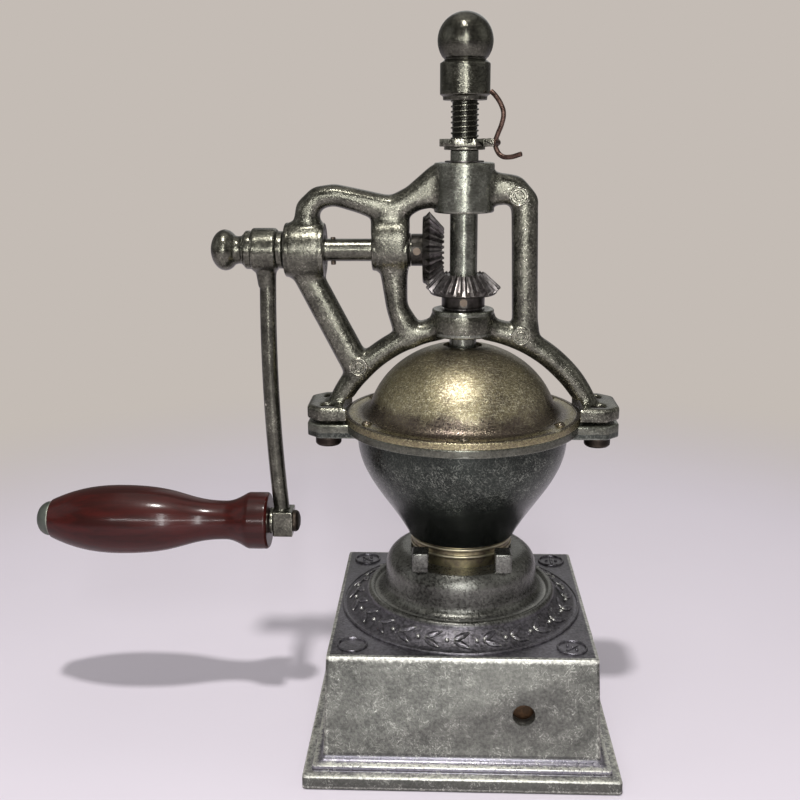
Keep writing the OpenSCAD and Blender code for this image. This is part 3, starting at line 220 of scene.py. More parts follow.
class Shader:
    """The node tree of one material."""

    def __init__(self, name):
        self.material = bpy.data.materials.new(name)
        self.material.use_nodes = True
        self.tree = self.material.node_tree
        self.surface = self.tree.nodes["Principled BSDF"]
        self.place = self.add("ShaderNodeTexCoord").outputs["Object"]

    def set(self, socket, value):
        """Links a socket, or sets it to a constant."""
        if isinstance(value, Number):
            value = value.socket
        if isinstance(value, bpy.types.NodeSocket):
            self.tree.links.new(value, socket)
        else:
            socket.default_value = value

    def add(self, kind, settings=None, inputs=None):
        """Adds a node: its settings are set first, then its sockets."""
        node = self.tree.nodes.new(kind)
        for key, value in (settings or {}).items():
            setattr(node, key, value)
        for key, value in (inputs or {}).items():
            self.set(node.inputs[key], value)
        return node

    def feed(self, **values):
        """Sets or links sockets of the surface: coat_weight stands for Coat Weight."""
        for name, value in values.items():
            self.set(self.surface.inputs[name.replace("_", " ").title()], value)

    def noise(self, scale, detail=4.0, roughness=0.6, stretch=None, turn=(0, 0, 0),
              warp=0.0):
        """Noise over the piece, in cells per metre, after a turn and a stretch."""
        place = self.place
        if stretch:
            place = self.add("ShaderNodeMapping", {"vector_type": "TEXTURE"},
                             {"Vector": place, "Rotation": turn,
                              "Scale": [1 / s for s in stretch]}).outputs["Vector"]
        node = self.add("ShaderNodeTexNoise", None,
                        {"Vector": place, "Scale": scale, "Detail": detail,
                         "Roughness": roughness, "Distortion": warp})
        return Number(self, node.outputs[0])

    def step(self, value, start, end):
        """Rises smoothly from 0 to 1 between start and end."""
        node = self.add("ShaderNodeMapRange", {"interpolation_type": "SMOOTHSTEP"},
                        {"Value": value, "From Min": start, "From Max": end})
        return Number(self, node.outputs["Result"])

    def spots(self, scale, detail, start, end, roughness=0.6, stretch=None):
        """Patches of 1 on 0, with borders as soft as start and end are apart."""
        return self.step(self.noise(scale, detail, roughness, stretch), start, end)

    def fold(self, start, end):
        """Rises to 1 with how convex the surface is; a flat one counts as 0.5."""
        bend = self.add("ShaderNodeNewGeometry").outputs["Pointiness"]
        return self.step(Number(self, bend), start, end)

    def place_parts(self):
        """The X, Y and Z of a point, in metres."""
        split = self.add("ShaderNodeSeparateXYZ", None, {0: self.place})
        return [Number(self, split.outputs[axis]) for axis in "XYZ"]

    def band(self, value, centre, half):
        """1 where value is at centre, falling to 0 at half a band away."""
        return 1 - self.step(abs(value - centre), half * 0.3, half)

    def blend(self, factor, first, second):
        """Mixes two colours."""
        first, second = (c if isinstance(c, bpy.types.NodeSocket) else (*c, 1.0)
                         for c in (first, second))
        node = self.add("ShaderNodeMix", {"data_type": "RGBA"},
                        {0: factor, 6: first, 7: second})
        return node.outputs[2]

    def bumped(self, height, strength, depth):
        """Connects a height to the surface's normal, depth in metres, and hands over
        the finished material."""
        node = self.add("ShaderNodeBump", None,
                        {"Height": height, "Strength": strength, "Distance": depth})
        self.feed(normal=node.outputs["Normal"])
        return self.material


def shade(tone, share):
    """A darker or brighter tint of a colour."""
    return tuple(min(1.0, c * share) for c in tone)


def fibres(shader, fine, keep, gate=1.0):
    """Short bent marks in several directions, like those that steel wool leaves."""
    total = None
    turns = ((0.1, 0.15, 0.25), (0.4, 0.8, 0.3), (0.7, -0.9, 0.2), (0.2, 0.5, 1.3),
             (0.5, 1.35, -0.9))
    for turn in turns:
        marks = shader.noise(fine, 1, 0.5, stretch=(0.14, 1.0, 1.0), turn=turn, warp=0.7)
        lines = shader.step(marks, keep, keep + 0.06)
        total = lines if total is None else total.larger(lines)
    return total * gate


def worn_metal(name, dark, mid, bright, fleck=0.35, cloud=180.0, rough=(0.2, 0.3),
               wear=0.5, grain=0.00012, lathe=None):
    """Antique metal: a mottled tone, rubbed edges, light flecks, fine marks and, on a
    turned piece, lathe lines round the axis that lathe names."""
    shader = Shader(name)
    clouds = shader.spots(cloud, 5, 0.32, 0.68)
    mottle = shader.spots(950, 3, 0.34, 0.66)
    hollow = 1 - shader.fold(0.42, 0.495)
    edge = shader.fold(0.507, 0.58)
    marks = fibres(shader, 1900, 0.66, clouds * 0.7 + 0.3)
    sparks = shader.spots(1500, 2, 0.62, 0.72)
    tone = shader.blend(clouds * 0.4 + mottle * 0.35 + 0.2, dark, mid)
    tone = shader.blend(hollow * 0.85, tone, dark)
    lift = shader.step(marks * fleck + sparks * fleck * 0.6
                       + edge * wear * (0.4 + mottle * 0.6), 0.0, 1.1)
    low_rough, high_rough = rough
    shader.feed(base_color=shader.blend(lift, tone, bright), metallic=0.9,
                roughness=low_rough + (high_rough - low_rough)
                * (mottle * 0.5 + clouds * 0.5) - lift * 0.06)
    relief = shader.noise(700, 3) * 0.6 + shader.noise(1600, 2, 0.55) * 0.4 - marks * 0.15
    if lathe:
        lines = {"x": (1.0, 0.03, 0.03), "z": (0.03, 0.03, 1.0)}[lathe]
        relief = relief + shader.noise(2600, 2, stretch=lines) * 0.6
    return shader.bumped(relief, 0.6, grain)


def scratched_base():
    """The base's finish: pewter sides, dark lilac-grey top, bright rubbed mouldings, and
    painted highlights on its top edge and raised relief.
    """
    tones = colours()
    shader = Shader("Scratched pewter base")
    across, along, height = (part / MM for part in shader.place_parts())
    wide = abs(across).larger(abs(along))
    narrow = abs(across).smaller(abs(along))
    clouds = shader.spots(42, 4, 0.3, 0.7)
    mottle = shader.spots(800, 3, 0.3, 0.7)
    patch = shader.spots(160, 3, 0.40, 0.62)
    marks = fibres(shader, 1700, 0.64, patch * 0.7 + 0.3)
    sparks = shader.spots(1100, 2, 0.63, 0.72) * patch
    ragged = shader.noise(420, 3) - 0.5
    slab_top, moulding_top = 5.8, 11.2
    deck = shader.step(height + ragged * 0.3, BOX_TOP - 0.5, BOX_TOP - 0.05)
    wall = shader.step(height, BOX_TOP + 6, BOX_TOP + 8.5)
    moulding = shader.step(height, slab_top, slab_top + 0.6) \
        * (1 - shader.step(height, moulding_top - 1.2, moulding_top))
    # edges: a painted highlight, a ragged bright band along the top of the base's sides where
    # the rounded top edge catches the light
    edges = shader.step(height + ragged * 2, BOX_TOP - 2.8, BOX_TOP - 0.8) \
        * shader.step(wide, 51.2, 51.8) * (1 - deck * 0.3)
    corners = shader.step(narrow + ragged * 1.2, 52.3, 53.2) * 0.42 \
        * shader.step(height, BOX_FOOT, BOX_FOOT + 1)
    ledges = shader.band(height + ragged * 0.6, slab_top - 0.2, 0.7) \
        + shader.band(height + ragged * 0.5, 8.3, 0.6) \
        + shader.band(height + ragged * 0.5, 1.2, 0.6) * 0.4
    # dark_bands: darker lines along the moulding's top and at 6.7 mm
    dark_bands = shader.band(height, moulding_top, 0.9) * 0.6 + shader.band(height, 6.7, 0.5) * 0.8
    tone = shader.blend(clouds * 0.35 + mottle * 0.45 + patch * 0.2, tones.base_dark,
                        tones.base)
    lilac = shader.blend(mottle * 0.6 + clouds * 0.4, tones.deck_dark, tones.deck)
    tone = shader.blend(deck * (1 - wall), tone, lilac)
    tone = shader.blend(wall, tone, shader.blend(mottle * 0.4 + clouds * 0.6,
                                                 tones.pewter_dark, tones.base))
    slab = 1 - shader.step(height, slab_top - 0.5, slab_top)
    tone = shader.blend(slab * 0.55, tone, tones.base_dark)
    tone = shader.blend(moulding * 0.75, tone, tones.moulding)
    tone = shader.blend(dark_bands, tone, tones.deck_dark)
    # raised: a painted highlight on the convex tops of the wreath, beads and marks on the deck
    raised = shader.fold(0.52, 0.60) \
        * shader.step(height, BOX_TOP + 0.6, BOX_TOP + 1.2) * (1 - wall)
    # lift holds real scratches, flecks and rubbed corners and ledges, together with the
    # painted highlights of raised and edges
    lift = marks * (0.36 - deck * 0.16) + sparks * (0.45 - deck * 0.2) + raised * 0.5
    lift = shader.step(lift + (edges + corners + ledges) * (0.45 + mottle * 0.55), 0, 1.1)
    shader.feed(base_color=shader.blend(lift, tone, tones.base_bright), metallic=0.8,
                roughness=0.4 - deck * 0.12 - moulding * 0.14 - wall * 0.04 + mottle * 0.1)
    return shader.bumped(mottle * 0.6 + shader.noise(1600, 2, 0.55) * 0.3 - marks * 0.2,
                         0.5, 0.0001)


def dark_bowl():
    """The bowl's finish: nearly black, with a belt of fine light flecks round its middle."""
    tones = colours()
    shader = Shader("Dark polished bowl")
    height = shader.place_parts()[2] / MM
    clouds = shader.spots(55, 4, 0.32, 0.68)
    mottle = shader.spots(1000, 3, 0.35, 0.66)
    rise = height + clouds * 5
    tall = RIM - BOWL_FOOT
    belt = shader.step(rise, BOWL_FOOT + tall * 0.36, BOWL_FOOT + tall * 0.55) \
        * (1 - shader.step(rise, BOWL_FOOT + tall * 0.8, BOWL_FOOT + tall * 0.98) * 0.5)
    rim = shader.step(height, RIM - 3.6, RIM - 3.2)
    patch = shader.spots(230, 3, 0.42, 0.62)
    marks = fibres(shader, 2100, 0.62, belt * (0.35 + patch * 0.45) + 0.2)
    edge = shader.fold(0.508, 0.58) * 0.5
    tone = shader.blend(mottle * 0.15 + patch * 0.15 + belt * clouds * 0.55,
                        tones.bowl_dark, tones.bowl)
    tone = shader.blend(rim * (0.35 + mottle * 0.4), tone, tones.pewter)
    lift = shader.step(marks * 0.46 + edge, 0.0, 1.1)
    shader.feed(base_color=shader.blend(lift, tone, tones.bowl_bright), metallic=0.8,
                roughness=0.17 + mottle * 0.06 + belt * 0.08)
    return shader.bumped(mottle * 0.6 + shader.noise(1600, 2, 0.55) * 0.4, 0.45, 0.00007)


def antique_brass():
    """Speckled brass, rubbed golden above and tarnished purple-brown near the skirt."""
    tones = colours()
    shader = Shader("Antique brass lid")
    height = shader.place_parts()[2] / MM
    clouds = shader.spots(60, 4, 0.3, 0.7)
    specks = shader.spots(1500, 4, 0.40, 0.64, 0.7, (0.6, 0.6, 1.0))
    sparks = fibres(shader, 2000, 0.62) * 0.6 \
        + shader.spots(1900, 2, 0.57, 0.68, 0.7, (0.2, 0.2, 1.0)) * 0.5
    skirt = 1 - shader.step(height + clouds * 4, RIM + 7, RIM + 14)
    crown = shader.step(height + clouds * 6, RIM + 22, RIM + 32) * 0.25
    rim = 1 - shader.step(height, RIM + 2.55, RIM + 2.75)
    tone = shader.blend(specks * 0.35 + clouds * 0.4 + 0.12, tones.brass_dark, tones.brass)
    tone = shader.blend(skirt * 0.75 + crown, tone, tones.brass_dark)
    tone = shader.blend(rim * (0.4 + specks * 0.4), tone, tones.brass)
    edge = shader.fold(0.506, 0.58)
    lift = sparks * 0.75 * (1 - skirt * 0.65) * (1 - crown) + edge * (0.25 + specks * 0.4)
    shader.feed(base_color=shader.blend(shader.step(lift, 0, 1), tone, tones.brass_bright),
                metallic=0.9, roughness=0.3 + specks * 0.1 - skirt * 0.06)
    return shader.bumped(specks * 0.5 + shader.noise(1500, 2, 0.55) * 0.5, 0.55, 0.00012)


def dull_brass():
    """Plain turned brass with brown tarnish in its hollows."""
    tones = colours()
    shader = Shader("Dull brass")
    tarnish = shader.spots(240, 5, 0.35, 0.7)
    rings = shader.noise(900, 2, 0.55, (0.15, 0.15, 2.5))
    tone = shader.blend(tarnish * 0.6 + 0.3, tones.brass, tones.brass_dark)
    tone = shader.blend(shader.fold(0.505, 0.57) * 0.6, tone, tones.brass_bright)
    shader.feed(base_color=tone, metallic=0.95, roughness=0.3 + rings * 0.16)
    return shader.bumped(rings, 0.25, 0.00006)


def turned_steel(name, dark, mid, bright, rough=0.42):
    """Steel with lathe lines, brown in places."""
    shader = Shader(name)
    clouds = shader.spots(150, 5, 0.35, 0.68)
    lathe = shader.noise(1300, 2, 0.55, (0.35, 0.35, 1.0))
    tone = shader.blend(clouds * 0.7 + lathe * 0.3, dark, mid)
    tone = shader.blend(shader.fold(0.505, 0.57) * 0.7, tone, bright)
    shader.feed(base_color=tone, metallic=0.95,
                roughness=rough + lathe * 0.12 + clouds * 0.06)
    return shader.bumped(lathe, 0.3, 0.00005)


def toothed_steel(name, axis, foot, face):
    """Grey gear steel whose hub, from foot to face along an axis, is oiled dark brown."""
    tones = colours()
    shader = Shader(name)
    along = shader.place_parts()["xyz".index(axis)] / MM
    mottle = shader.spots(700, 4, 0.32, 0.68)
    oil = shader.spots(260, 4, 0.4, 0.65)
    hub = shader.step(along, foot, face)
    tone = shader.blend(mottle * 0.6 + (1 - oil) * 0.4, tones.gear_dark, tones.gear)
    stain = shader.blend(mottle, shade(tones.oil, 0.5), tones.oil)
    shader.feed(base_color=shader.blend(hub * 0.9 + oil * 0.15, tone, stain),
                metallic=0.9, roughness=0.3 + mottle * 0.12)
    return shader.bumped(mottle * 0.5 + shader.noise(1600, 2, 0.55) * 0.5, 0.5, 0.00005)


def patina_wire():
    """Copper-brown wire with darker and brighter stretches."""
    wire = colours().wire
    shader = Shader("Copper-brown wire")
    patches = shader.spots(330, 4, 0.36, 0.66)
    tone = shader.blend(patches, shade(wire, 0.3), wire)
    tone = shader.blend(shader.fold(0.505, 0.58) * 0.5, tone, shade(wire, 2.4))
    shader.feed(base_color=tone, metallic=0.85, roughness=0.32 + patches * 0.15)
    return shader.bumped(shader.noise(1500, 3, 0.55), 0.3, 0.00005)


def lacquered_wood():
    """Dark red-brown turned wood under gloss lacquer, its grain along the grip."""
    tones = colours()
    shader = Shader("Lacquered grip wood")
    grain = shader.noise(34, 6, 0.6, (1.0, 9.0, 9.0), warp=0.5)
    pores = shader.spots(160, 3, 0.58, 0.7, 0.6, (0.6, 14.0, 14.0))
    clouds = shader.noise(28, 3, 0.55)
    mixed = shader.step(grain * 0.8 + clouds * 0.2, 0.36, 0.64)
    tone = shader.blend(mixed, tones.wood_dark, tones.wood)
    tone = shader.blend(shader.step(clouds, 0.5, 0.75) * 0.5, tone, shade(tones.wood, 1.3))
    shader.feed(base_color=shader.blend(pores * 0.6, tone, tones.wood_dark),
                roughness=0.42 + pores * 0.1, coat_weight=0.38, coat_roughness=0.16)
    shader.set(shader.surface.inputs["Specular IOR Level"], 0.1)
    return shader.bumped(shader.noise(90, 3, 0.5, (0.5, 3.0, 3.0)), 0.25, 0.0002)


def oiled_wood():
    """Plain brown hardwood with straight grain."""
    wood = colours().drawer_wood
    shader = Shader("Oiled drawer wood")
    grain = shader.noise(40, 6, 0.62, (9.0, 1.0, 9.0), warp=0.6)
    pores = shader.spots(170, 3, 0.57, 0.68, 0.6, (16.0, 0.8, 16.0))
    dark = shade(wood, 0.45)
    tone = shader.blend(shader.step(grain, 0.35, 0.65), dark, wood)
    shader.feed(base_color=shader.blend(pores * 0.5, tone, dark),
                roughness=0.52 + pores * 0.15)
    return shader.bumped(grain - pores * 0.4, 0.4, 0.00015)


def black_paint():
    """Thin black paint on sheet metal, rubbed grey in places."""
    shader = Shader("Black sheet paint")
    rub = shader.spots(85, 6, 0.56, 0.72, 0.65)
    shader.feed(base_color=shader.blend(rub, linear(24, 25, 25), linear(74, 74, 72)),
                roughness=0.48 + rub * 0.18, metallic=0.15)
    return shader.bumped(shader.noise(700, 3, 0.55), 0.4, 0.00008)


FINISHES = {}


def make_finishes():
    """One material for each material slot of the record, and for each special look."""
    tones = colours()
    pewter = (tones.pewter_dark, tones.pewter, tones.pewter_bright)
    # silver: a brighter copy of the pewter for the upright turned pieces; the extra brightness
    # is a painted sheen standing in for their strong upright highlights
    silver = (shade(tones.pewter, 0.45), tones.turned, tones.pewter_bright)
    # thread_tones: a darker pewter for the spindle's thread than for the other turned pieces
    thread_tones = (shade(tones.pewter, 0.25), tones.pewter_dark, tones.pewter)
    knob = (tones.pewter_dark, shade(tones.pewter, 0.75), tones.pewter_bright)
    shaft_hub = high("shaft_bushes").x
    spindle_hub = low("spindle_gear").z
    FINISHES.update({
        "base metal": scratched_base(),
        "frame metal": worn_metal("Antique pewter casting", *pewter, 0.45, 110,
                                  (0.2, 0.34), 0.8, 0.00018),
        "crank metal": worn_metal("Antique pewter crank", *pewter, 0.35, 150,
                                  (0.18, 0.3), 0.6),
        "bowl metal": dark_bowl(),
        "dome brass": antique_brass(),
        "brass": dull_brass(),
        "shaft steel": worn_metal("Turned pewter, level", *pewter, rough=(0.18, 0.28),
                                  lathe="x"),
        "brightened upright steel": worn_metal("Turned pewter, upright, painted brighter", *silver, lathe="z"),
        "knob steel": worn_metal("Turned dark pewter", *knob, 0.25, rough=(0.16, 0.26),
                                 lathe="z"),
        "thread steel": worn_metal("Dark pewter thread", *thread_tones, 0.2, 300, wear=0.9),
        "gear steel": toothed_steel("Gear of the crank shaft", "x", shaft_hub + 8.2,
                                    shaft_hub + 7.4),
        "low gear steel": toothed_steel("Gear of the spindle", "z", spindle_hub + 5.6,
                                        spindle_hub + 4.8),
        "burr steel": turned_steel("Hardened burr steel", tones.gear_dark, tones.pewter,
                                   tones.pewter_bright, 0.33),
        "brown steel": patina_wire(),
        "dark screws": turned_steel("Blackened screws", linear(20, 18, 17),
                                    linear(54, 46, 41), linear(120, 108, 96)),
        "sheet metal": black_paint(),
        "cap metal": turned_steel("Grey-green cap", shade(tones.cap, 0.55), tones.cap,
                                  tones.pewter_bright),
        "grip wood": lacquered_wood(),
        "drawer wood": oiled_wood(),
    })


# ------------------------------------------------------------ outlines

def arc(x, y, radius, start, end, steps=8, rise=None):
    """Points of a circular arc, from one angle to another in degrees. An oval has a
    rise, its half height, as well."""
    turns = [math.radians(start + (end - start) * i / steps) for i in range(steps + 1)]
    rise = rise or radius
    return [(x + radius * math.cos(a), y + rise * math.sin(a)) for a in turns]


def curve(a, b, c, d, steps=12):
    """Points of a cubic curve with two ends and two handles."""
    points = []
    for i in range(steps + 1):
        t = i / steps
        s = 1 - t
        w = (s ** 3, 3 * t * s * s, 3 * t * t * s, t ** 3)
        points.append(tuple(sum(k * p[axis] for k, p in zip(w, (a, b, c, d)))
                            for axis in (0, 1)))
    return points


def drum(radius, start, end):
    """Outline of a plain cylinder."""
    return [(0, start), (radius, start), (radius, end), (0, end)]


def ring(inner, outer, start, end):
    """Closed outline of a plain ring."""
    return [(inner, start), (outer, start), (outer, end), (inner, end), (inner, start)]


def eased(points, radius, sharpest=28):
    """Rounds the corners of an open outline that turn by more than sharpest degrees."""
    result = [points[0]]
    for before, corner, after in zip(points, points[1:], points[2:]):
        inward = Vector(before) - Vector(corner)
        onward = Vector(after) - Vector(corner)
        if min(inward.length, onward.length) < 1e-6:
            continue
        turn = math.degrees(math.pi - inward.angle(onward))
        if turn < sharpest:
            result.append(corner)
            continue
        reach = min(radius, inward.length * 0.45, onward.length * 0.45)
        start = Vector(corner) + inward.normalized() * reach
        end = Vector(corner) + onward.normalized() * reach
        for t in (0.0, 0.33, 0.67, 1.0):
            s = 1 - t
            result.append(tuple(start * s * s + Vector(corner) * 2 * s * t + end * t * t))
    return result + [points[-1]]


def filled(points, near=0.7, most=3.0):
    """Adds points to the long runs of an outline: close to each end, and evenly between."""
    result = [points[0]]
    for start, end in zip(points, points[1:]):
        span = (Vector(end) - Vector(start)).length
        if span > 2.2 * near:
            count = max(1, math.ceil((span - 2 * near) / most))
            cuts = [near / span + (1 - 2 * near / span) * i / count
                    for i in range(count + 1)]
            result += [tuple(Vector(start).lerp(Vector(end), t)) for t in cuts]
        result.append(end)
    return result


# ------------------------------------------------------------ shapes, in millimetres

CENTRE = (0, 0, 0)
AXIS_TURNS = {"z": (0, "Z"), "x": (90, "Y"), "-x": (-90, "Y"), "y": (-90, "X")}
QUADRANTS = ((-1, -1), (-1, 1), (1, -1), (1, 1))


def moved(shape, offset=CENTRE, turn=0.0, axis="Z"):
    """Moves a shape, then turns it about an axis by an angle in degrees."""
    bmesh.ops.translate(shape, verts=shape.verts, vec=offset)
    bmesh.ops.rotate(shape, verts=shape.verts, cent=CENTRE,
                     matrix=Matrix.Rotation(math.radians(turn), 3, axis))
    return shape


def outward(shape):
    """Merges doubles and turns every face outwards."""
    bmesh.ops.remove_doubles(shape, verts=shape.verts, dist=1e-4)
    bmesh.ops.recalc_face_normals(shape, faces=shape.faces)


def rounded(shape, edges, radius, segments):
    """Rounds edges of a shape."""
    bmesh.ops.bevel(shape, geom=edges, offset=radius, segments=segments, profile=0.5,
                    affect="EDGES", material=-1)
    return shape


def turned(outline, steps=96, along="z", at=CENTRE):
    """A shape turned on a lathe: outline is (radius, height) pairs along its axis."""
    shape = bmesh.new()
    verts = [shape.verts.new((r, 0, h)) for r, h in filled(outline)]
    edges = [shape.edges.new(pair) for pair in zip(verts, verts[1:])]
    bmesh.ops.spin(shape, geom=verts + edges, cent=CENTRE, axis=(0, 0, 1), dvec=CENTRE,
                   angle=math.tau, steps=steps, use_merge=True, use_duplicate=False)
    outward(shape)
    turn, axis = AXIS_TURNS[along]
    return moved(moved(shape, turn=turn, axis=axis), at)


def cube(size, middle_at):
    """A sharp box."""
    shape = bmesh.new()
    bmesh.ops.create_cube(shape, size=1)
    bmesh.ops.scale(shape, vec=size, verts=shape.verts)
    return moved(shape, middle_at)


def block(lowest, highest, edge=0.0, segments=3):
    """A box between two corners with rounded edges."""
    lowest, highest = Vector(lowest), Vector(highest)
    shape = cube(highest - lowest, (highest + lowest) / 2)
    return rounded(shape, shape.edges[:], edge, segments) if edge else shape


def prism(outline, bottom, top, edge=0.0, segments=3):
    """An upright prism over an outline in X and Y, with rounded rims."""
    shape = bmesh.new()
    face = shape.faces.new([shape.verts.new((x, y, bottom)) for x, y in outline])
    raised = bmesh.ops.extrude_face_region(shape, geom=[face])
    lifted = [v for v in raised["geom"] if isinstance(v, bmesh.types.BMVert)]
    bmesh.ops.translate(shape, verts=lifted, vec=(0, 0, top - bottom))
    outward(shape)
    return rounded(shape, shape.edges[:], edge, segments) if edge else shape


def joined(*shapes):
    """One shape that holds all the shapes."""
    whole = bmesh.new()
    for shape in shapes:
        mesh = bpy.data.meshes.new("part")
        shape.to_mesh(mesh)
        shape.free()
        whole.from_mesh(mesh)
        bpy.data.meshes.remove(mesh)
    return whole


def ring_of(count, start, make):
    """Shapes repeated round the Z axis."""
    return joined(*[moved(make(), turn=start + i * 360 / count) for i in range(count)])


# ------------------------------------------------------------ pieces

def placed(name, data):
    """A new object in the scene."""
    piece = bpy.data.objects.new(name, data)
    bpy.context.scene.collection.objects.link(piece)
    return piece


def new_object(name, shape):
    """Turns a shape in millimetres into an object in metres."""
    bmesh.ops.scale(shape, vec=(MM, MM, MM), verts=shape.verts)
    mesh = bpy.data.meshes.new(name)
    shape.to_mesh(mesh)
    shape.free()
    return placed(name, mesh)


def lathed(name, outline, ease, steps, along="z", at=CENTRE, sharpest=28):
    """A turned piece with eased corners."""
    return new_object(name, turned(eased(outline, ease, sharpest), steps, along, at))


def evaluated_mesh(piece):
    """A piece's mesh as its modifiers leave it."""
    graph = bpy.context.evaluated_depsgraph_get()
    return bpy.data.meshes.new_from_object(piece.evaluated_get(graph))


def settled(piece):
    """Turns a piece's modifiers into plain mesh."""
    mesh = evaluated_mesh(piece)
    mesh.name = piece.name
    piece.modifiers.clear()
    piece.data = mesh
    return piece


def carved(piece, shape, operation="DIFFERENCE"):
    """Cuts a shape out of a piece, or adds it."""
    tool = new_object("tool", shape)
    modifier = piece.modifiers.new("carve", "BOOLEAN")
    modifier.object = tool
    modifier.operation = operation
    modifier.solver = "EXACT"
    settled(piece)
    bpy.data.objects.remove(tool)
    return piece


def solid_copy(name, node):
    """A merged copy of a solid part's mesh."""
    shape = bmesh.new()
    shape.from_mesh(frame["nodes"][node].data)
    bmesh.ops.remove_doubles(shape, verts=shape.verts, dist=2e-6)
    mesh = bpy.data.meshes.new(name)
    shape.to_mesh(mesh)
    shape.free()
    return placed(name, mesh)


def bevelled(piece, width, sharpest):
    """Rounds the edges of a piece that turn by more than sharpest degrees."""
    modifier = piece.modifiers.new("edges", "BEVEL")
    modifier.width = width
    modifier.segments = 2
    modifier.limit_method = "ANGLE"
    modifier.angle_limit = math.radians(sharpest)
    return settled(piece)


def crisp(name, node, width):
    """A copy of a solid part with whole flat faces and small rounded edges."""
    piece = solid_copy(name, node)
    shape = bmesh.new()
    shape.from_mesh(piece.data)
    bmesh.ops.dissolve_limit(shape, angle_limit=math.radians(1), verts=shape.verts,
                             edges=shape.edges)
    shape.to_mesh(piece.data)
    shape.free()
    return bevelled(piece, width, sharpest=38)


SWELL = 0.45


def smoothing(piece, rounds):
    """Adds a modifier that smooths a piece by so many rounds."""
    modifier = piece.modifiers.new("smooth", "SMOOTH")
    modifier.factor = 0.5
    modifier.iterations = rounds
    return modifier


def softened(piece, grain, rounds, rounder=0, above=(0, 0)):
    """Remeshes a casting evenly and rounds its edges and inner corners. More rounds
    follow above a height, where they start gently."""
    modifier = piece.modifiers.new("remesh", "REMESH")
    modifier.mode = "VOXEL"
    modifier.voxel_size = grain
    smoothing(piece, rounds)
    settled(piece)
    if rounder:
        group = piece.vertex_groups.new(name="bars")
        start, full = above
        for vert in piece.data.vertices:
            share = (vert.co.z / MM - start) / (full - start)
            if share > 0:
                group.add([vert.index], min(1.0, share), "REPLACE")
        swell = piece.modifiers.new("swell", "DISPLACE")
        swell.strength = SWELL * MM
        swell.mid_level = 0
        swell.vertex_group = group.name
        smoothing(piece, rounder).vertex_group = group.name
        settled(piece)
        piece.vertex_groups.clear()
    return piece


def finished(piece, body, finish, *nodes, smooth=38, look=None):
    """Gives a piece its material and shading, and sets it on its body. A piece whose
    look differs from others of the same metal names it."""
    piece.data.materials.clear()
    piece.data.materials.append(FINISHES[look or finish])
    piece.data.shade_smooth()
    piece.data.set_sharp_from_angle(angle=math.radians(smooth))
    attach(piece, body)
    if nodes:
        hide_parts(*nodes)
    return piece


# ------------------------------------------------------------ base

# Radii of the seat for the burr ring and of the throat under it
SEAT_R = 20.9
THROAT_R = 16.5


def stepped_block(profile, corner):
    """A square tower: profile is (half width, height) pairs from the floor up."""
    half, bottom = profile[0]
    shape = cube((2 * half, 2 * half, 1), (0, 0, bottom + 0.5))
    upright = [e for e in shape.edges
               if abs(e.verts[0].co.z - e.verts[1].co.z) > 0.5]
    rounded(shape, upright, corner, 5)
    top = max(shape.faces, key=lambda f: f.calc_center_median().z)
    for level, (width, height) in enumerate(profile[1:]):
        if level:
            top = bmesh.ops.extrude_discrete_faces(shape, faces=[top])["faces"][0]
        rise = height - top.verts[0].co.z
        bmesh.ops.scale(shape, vec=(width / half, width / half, 1), verts=top.verts)
        bmesh.ops.translate(shape, vec=(0, 0, rise), verts=top.verts)
        half = width
    return shape


def pedestal_outline(size):
    """Outline of the relief, the pedestal and its shoulder."""
    relief = size.relief / MM
    bead = size.foot_bead / MM
    wall = size.pedestal / MM
    shoulder = size.shoulder / MM
    foot = BOX_TOP + 6.5
    return (
        [(0, BOX_TOP - 2), (relief, BOX_TOP - 2), (relief, BOX_TOP + 0.3)]
        + arc(relief - 0.6, BOX_TOP + 0.4, 0.6, 0, 170, 6)
        + curve((relief - 1.6, BOX_TOP + 0.45), (relief - 5, BOX_TOP + 1.6),
                (bead + 4.5, foot - 2.2), (bead + 1.9, foot - 0.7), 8)
        + arc(bead, foot - 0.2, 1.8, -5, 165, 8)
        + arc(wall + 4, foot + 4.7, 4, 262, 180, 8)
        + [(wall, PEDESTAL_TOP - shoulder - 0.6)]
        + arc(wall - shoulder, PEDESTAL_TOP - shoulder, shoulder, 4, 90, 14)
        + [(21.3, PEDESTAL_TOP), (SEAT_R, PEDESTAL_TOP - 0.4), (SEAT_R, SEAT),
           (THROAT_R, SEAT), (THROAT_R, SEAT - 2), (0, SEAT - 2)]
    )


def leaf(radius, slope, length, width, thick, heading):
    """A raised leaf that lies on the cone of the base's relief and points as far
    round as its heading says."""
    shape = bmesh.new()
    bmesh.ops.create_uvsphere(shape, u_segments=16, v_segments=8, radius=1)
    bmesh.ops.scale(shape, vec=(length, width, thick), verts=shape.verts)
    for vert in shape.verts:
        vert.co.y *= 1 - 0.55 * max(0.0, vert.co.x / length)
    moved(moved(shape, turn=heading), turn=slope, axis="Y")
    return moved(shape, (radius, 0, 0))


def bead_on(radius, height, size):
    """A small raised bead."""
    shape = bmesh.new()
    bmesh.ops.create_icosphere(shape, subdivisions=2, radius=size)
    return moved(shape, (radius, 0, height))


